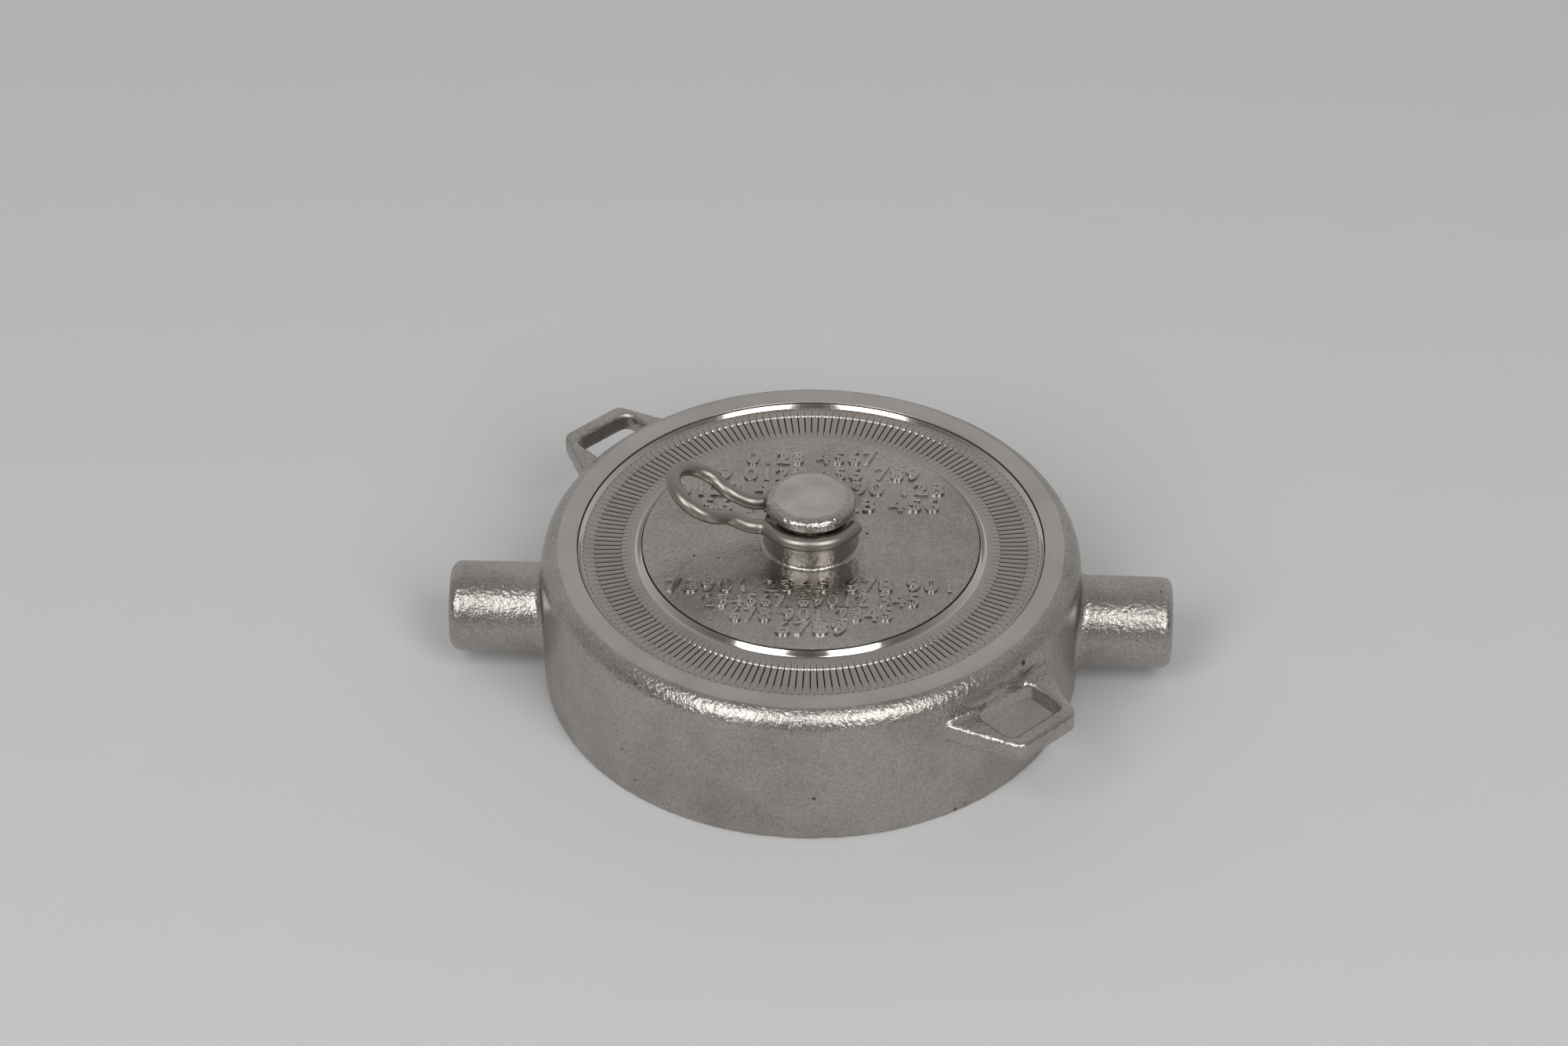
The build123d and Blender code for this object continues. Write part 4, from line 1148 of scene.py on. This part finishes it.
class VENT_OT_clip(bpy.types.Operator):
    """Wire clip: a round wire swept through its bends on one side, then mirrored"""

    bl_idname = "vent.clip"
    bl_label = "Wire clip"

    def execute(self, context):
        sizes = context.scene.vent_clip
        level = CLIP_LOW.z + sizes.wire
        bm = bmesh.new()
        start = Euler((0, 0, -sizes.mouth)).to_matrix() @ Vector((sizes.jaw, 0, 0))
        bmesh.ops.create_circle(
            bm,
            cap_ends=True,
            segments=32,
            radius=sizes.wire,
            matrix=Matrix.Translation(start + Vector((0, 0, level)))
            @ Matrix.Rotation(-sizes.mouth, 4, "Z")
            @ Matrix.Rotation(math.pi / 2, 4, "X"),
        )
        bmesh.ops.bevel(
            bm,
            geom=bm.edges[:],
            offset=0.00001,
            offset_type="OFFSET",
            segments=1,
            profile=0.5,
            affect="EDGES",
            material=-1,
        )
        outer = [edge for edge in bm.edges if edge.is_boundary]
        ends = {"edges": outer, "verts": list({vert for edge in outer for vert in edge.verts})}

        def bend(centre, axis, turn, radius):
            """Carries the wire's open end round an arc."""
            made = bmesh.ops.spin(
                bm,
                geom=ends["verts"] + ends["edges"],
                cent=centre,
                axis=axis,
                angle=turn,
                steps=max(4, int(abs(turn) * radius / BEND_STEP)),
                use_merge=False,
            )["geom_last"]
            ends["verts"] = parts_of(made, bmesh.types.BMVert)
            ends["edges"] = parts_of(made, bmesh.types.BMEdge)

        def run(offset):
            """Carries the wire's open end straight on."""
            made = bmesh.ops.extrude_edge_only(bm, edges=ends["edges"])["geom"]
            ends["verts"] = parts_of(made, bmesh.types.BMVert)
            ends["edges"] = [
                edge for edge in parts_of(made, bmesh.types.BMEdge)
                if all(vert in ends["verts"] for vert in edge.verts)
            ]
            bmesh.ops.translate(bm, verts=ends["verts"], vec=offset)

        bend_x = -math.sqrt((sizes.jaw + sizes.neck_bend) ** 2 - (sizes.leg + sizes.neck_bend) ** 2)
        bend_y = -sizes.leg - sizes.neck_bend
        neck_turn = math.atan2(-bend_y, -bend_x)
        jaw_turn = math.pi - neck_turn - sizes.mouth
        bend((0, 0, level), (0, 0, 1), -jaw_turn, sizes.jaw)
        bend((bend_x, bend_y, level), (0, 0, 1), math.pi / 2 - neck_turn, sizes.neck_bend)
        tangent = sizes.tilt_bend * math.tan(sizes.tilt / 2)
        run((sizes.tilt_x + tangent - bend_x, 0, 0))
        bend((sizes.tilt_x + tangent, 0, level + sizes.tilt_bend), (0, 1, 0), sizes.tilt, sizes.tilt_bend)
        along = Vector((-math.cos(sizes.tilt), 0, math.sin(sizes.tilt)))
        above = Vector((math.sin(sizes.tilt), 0, math.cos(sizes.tilt)))
        corner = Vector((sizes.tilt_x, 0, level))
        flare_run = math.sqrt((sizes.loop + sizes.flare) ** 2 - (sizes.leg + sizes.flare) ** 2)
        run(along * (sizes.loop_reach - flare_run - tangent))
        flare_turn = math.pi / 2 - math.atan2(sizes.leg + sizes.flare, flare_run)
        flare_foot = corner + along * (sizes.loop_reach - flare_run)
        flare_centre = flare_foot - Vector((0, sizes.leg + sizes.flare, 0))
        bend(flare_centre, above, flare_turn, sizes.flare)
        loop_turn = math.pi / 2 + flare_turn
        bend(corner + along * sizes.loop_reach, above, -loop_turn, sizes.loop)
        bmesh.ops.mirror(bm, geom=bm.verts[:] + bm.edges[:] + bm.faces[:], axis="Y", merge_dist=0.00005)
        bmesh.ops.remove_doubles(bm, verts=bm.verts, dist=0.00001)
        bmesh.ops.recalc_face_normals(bm, faces=bm.faces)
        bmesh.ops.rotate(bm, verts=bm.verts, cent=(0, 0, 0), matrix=Matrix.Rotation(sizes.turn, 3, "Z"))
        clip = as_object(bm, "wire_clip", crease=50)
        coat(clip, "drawn wire")
        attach(clip, "clip")
        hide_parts("stem_clip")
        return {"FINISHED"}


# ---- Inner pieces ----------------------------------------------------------------------


class VENT_OT_inner(bpy.types.Operator):
    """Give the valve's inner pieces their finishes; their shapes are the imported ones"""

    bl_idname = "vent.inner"
    bl_label = "Inner pieces"

    def execute(self, context):
        finishes = {
            "jacket_cover_ring": "rolled plate",
            "inlet_gasket": "gasket sheet",
            "seat_ring": "turned bore",
            "seat_o_ring": "black rubber",
            "cover_spacers": "turned bore",
            "cover_screws": "bright fastener",
            "guide_bush": "sintered bronze",
            "stem_wiper": "black rubber",
            "spring_washer": "rolled plate",
            "relief_spring": "drawn wire",
            "spring_seat": "rolled plate",
            "poppet": "turned bore",
            "poppet_seal": "brown seal",
            "seal_retainer": "rolled plate",
            "retainer_screws": "bright fastener",
            "stem": "bright fastener",
            "stem_washer": "rolled plate",
            "stem_nut": "bright fastener",
            "cotter_pin": "drawn wire",
            "knob_pin": "bright fastener",
        }
        for node, finish in finishes.items():
            for slot in NODES[node].material_slots:
                slot.material = bpy.data.materials[finish]
        return {"FINISHED"}


# ---- Stage -----------------------------------------------------------------------------


def toward(azimuth, elevation):
    """Direction from the vent, turned from the front (-Y) and lifted off the floor."""
    return Vector((
        math.sin(azimuth) * math.cos(elevation),
        -math.cos(azimuth) * math.cos(elevation),
        math.sin(elevation),
    ))


class VENT_OT_stage(bpy.types.Operator):
    """Pale paper floor, two softboxes, an even room and the camera"""

    bl_idname = "vent.stage"
    bl_label = "Stage"

    def execute(self, context):
        sizes = context.scene.vent_stage
        scene = context.scene
        bm = bmesh.new()
        bmesh.ops.create_grid(bm, x_segments=8, y_segments=8, size=sizes.floor_reach)
        floor = as_object(bm, "paper_floor")
        floor.data.materials.append(paper_finish("studio paper", tuple(context.scene.vent_colours.paper)))

        world = bpy.data.worlds.new("room")
        scene.world = world
        world.use_nodes = True
        nodes, links = world.node_tree.nodes, world.node_tree.links
        nodes.clear()
        room_frame = nodes.new("NodeFrame")
        room_frame.label = "Dark room in front, pale backdrop behind"
        facing = nodes.new("ShaderNodeTexCoord")
        facing.label = "Direction"
        parts = nodes.new("ShaderNodeSeparateXYZ")
        parts.label = "Front to back"
        fade = nodes.new("ShaderNodeMapRange")
        fade.label = "Fade to the backdrop"
        fade.interpolation_type = "SMOOTHSTEP"
        fade.inputs["From Min"].default_value = -0.75
        fade.inputs["From Max"].default_value = 0.85
        fade.inputs["To Min"].default_value = sizes.room_front
        fade.inputs["To Max"].default_value = sizes.room_back
        room = nodes.new("ShaderNodeBackground")
        room.label = "Room"
        room.inputs["Color"].default_value = (1.0, 1.0, 1.01, 1)
        output = nodes.new("ShaderNodeOutputWorld")
        output.label = "World"
        arrange([(room_frame, [facing, parts, fade, room, output])])
        links.new(facing.outputs["Generated"], parts.inputs["Vector"])
        links.new(parts.outputs["Y"], fade.inputs["Value"])
        links.new(fade.outputs["Result"], room.inputs["Strength"])
        links.new(room.outputs["Background"], output.inputs["Surface"])

        for name, side in (("softbox_left", -1), ("softbox_right", 1)):
            lamp = bpy.data.lights.new(name, "AREA")
            lamp.shape = "RECTANGLE"
            lamp.size = sizes.box_width
            lamp.size_y = sizes.box_height
            lamp.energy = sizes.light_power
            box = bpy.data.objects.new(name, lamp)
            scene.collection.objects.link(box)
            direction = toward(side * sizes.box_azimuth, sizes.box_elevation)
            box.location = direction * sizes.box_distance
            box.rotation_euler = direction.to_track_quat("Z", "Y").to_euler()

        camera_data = bpy.data.cameras.new("camera")
        camera_data.sensor_width = 36.0
        camera_data.lens = sizes.lens
        camera_data.clip_start = 0.05
        camera_data.clip_end = 60.0
        camera = bpy.data.objects.new("camera", camera_data)
        scene.collection.objects.link(camera)
        back = toward(sizes.azimuth, sizes.elevation)
        camera.location = Vector((sizes.aim_x, sizes.aim_y, 0)) + back * sizes.distance
        level = (-back).to_track_quat("-Z", "Y").to_matrix()
        camera.rotation_euler = (level @ Matrix.Rotation(sizes.roll, 3, "Z")).to_euler()
        scene.camera = camera
        scene.view_settings.view_transform = "Standard"
        return {"FINISHED"}


class VENT_PT_sidebar(bpy.types.Panel):
    """Buttons for each group of pieces"""

    bl_label = "Relief Vent"
    bl_idname = "VENT_PT_sidebar"
    bl_space_type = "VIEW_3D"
    bl_region_type = "UI"
    bl_category = "Relief Vent"

    def draw(self, context):
        for operator in OPERATORS:
            self.layout.operator(operator.bl_idname)


SETTINGS = {
    "vent_casting": CastingSizes,
    "vent_screen": ScreenSizes,
    "vent_cover": CoverSizes,
    "vent_knob": KnobSizes,
    "vent_clip": ClipSizes,
    "vent_colours": FinishColours,
    "vent_stage": StageSizes,
}
OPERATORS = (
    VENT_OT_finishes,
    VENT_OT_casting,
    VENT_OT_screen,
    VENT_OT_cover,
    VENT_OT_figures,
    VENT_OT_knob,
    VENT_OT_clip,
    VENT_OT_inner,
    VENT_OT_stage,
)


def register():
    for kind in (*SETTINGS.values(), *OPERATORS, VENT_PT_sidebar):
        bpy.utils.register_class(kind)
    for name, kind in SETTINGS.items():
        setattr(bpy.types.Scene, name, PointerProperty(type=kind))


def unregister():
    for name in SETTINGS:
        delattr(bpy.types.Scene, name)
    for kind in reversed((*SETTINGS.values(), *OPERATORS, VENT_PT_sidebar)):
        bpy.utils.unregister_class(kind)


def main():
    register()
    bpy.ops.vent.finishes()
    bpy.ops.vent.casting()
    bpy.ops.vent.screen()
    bpy.ops.vent.cover()
    bpy.ops.vent.figures()
    bpy.ops.vent.knob()
    bpy.ops.vent.clip()
    bpy.ops.vent.inner()
    bpy.ops.vent.stage()
    bpy.context.view_layer.update()


if __name__ == "__main__":
    main()
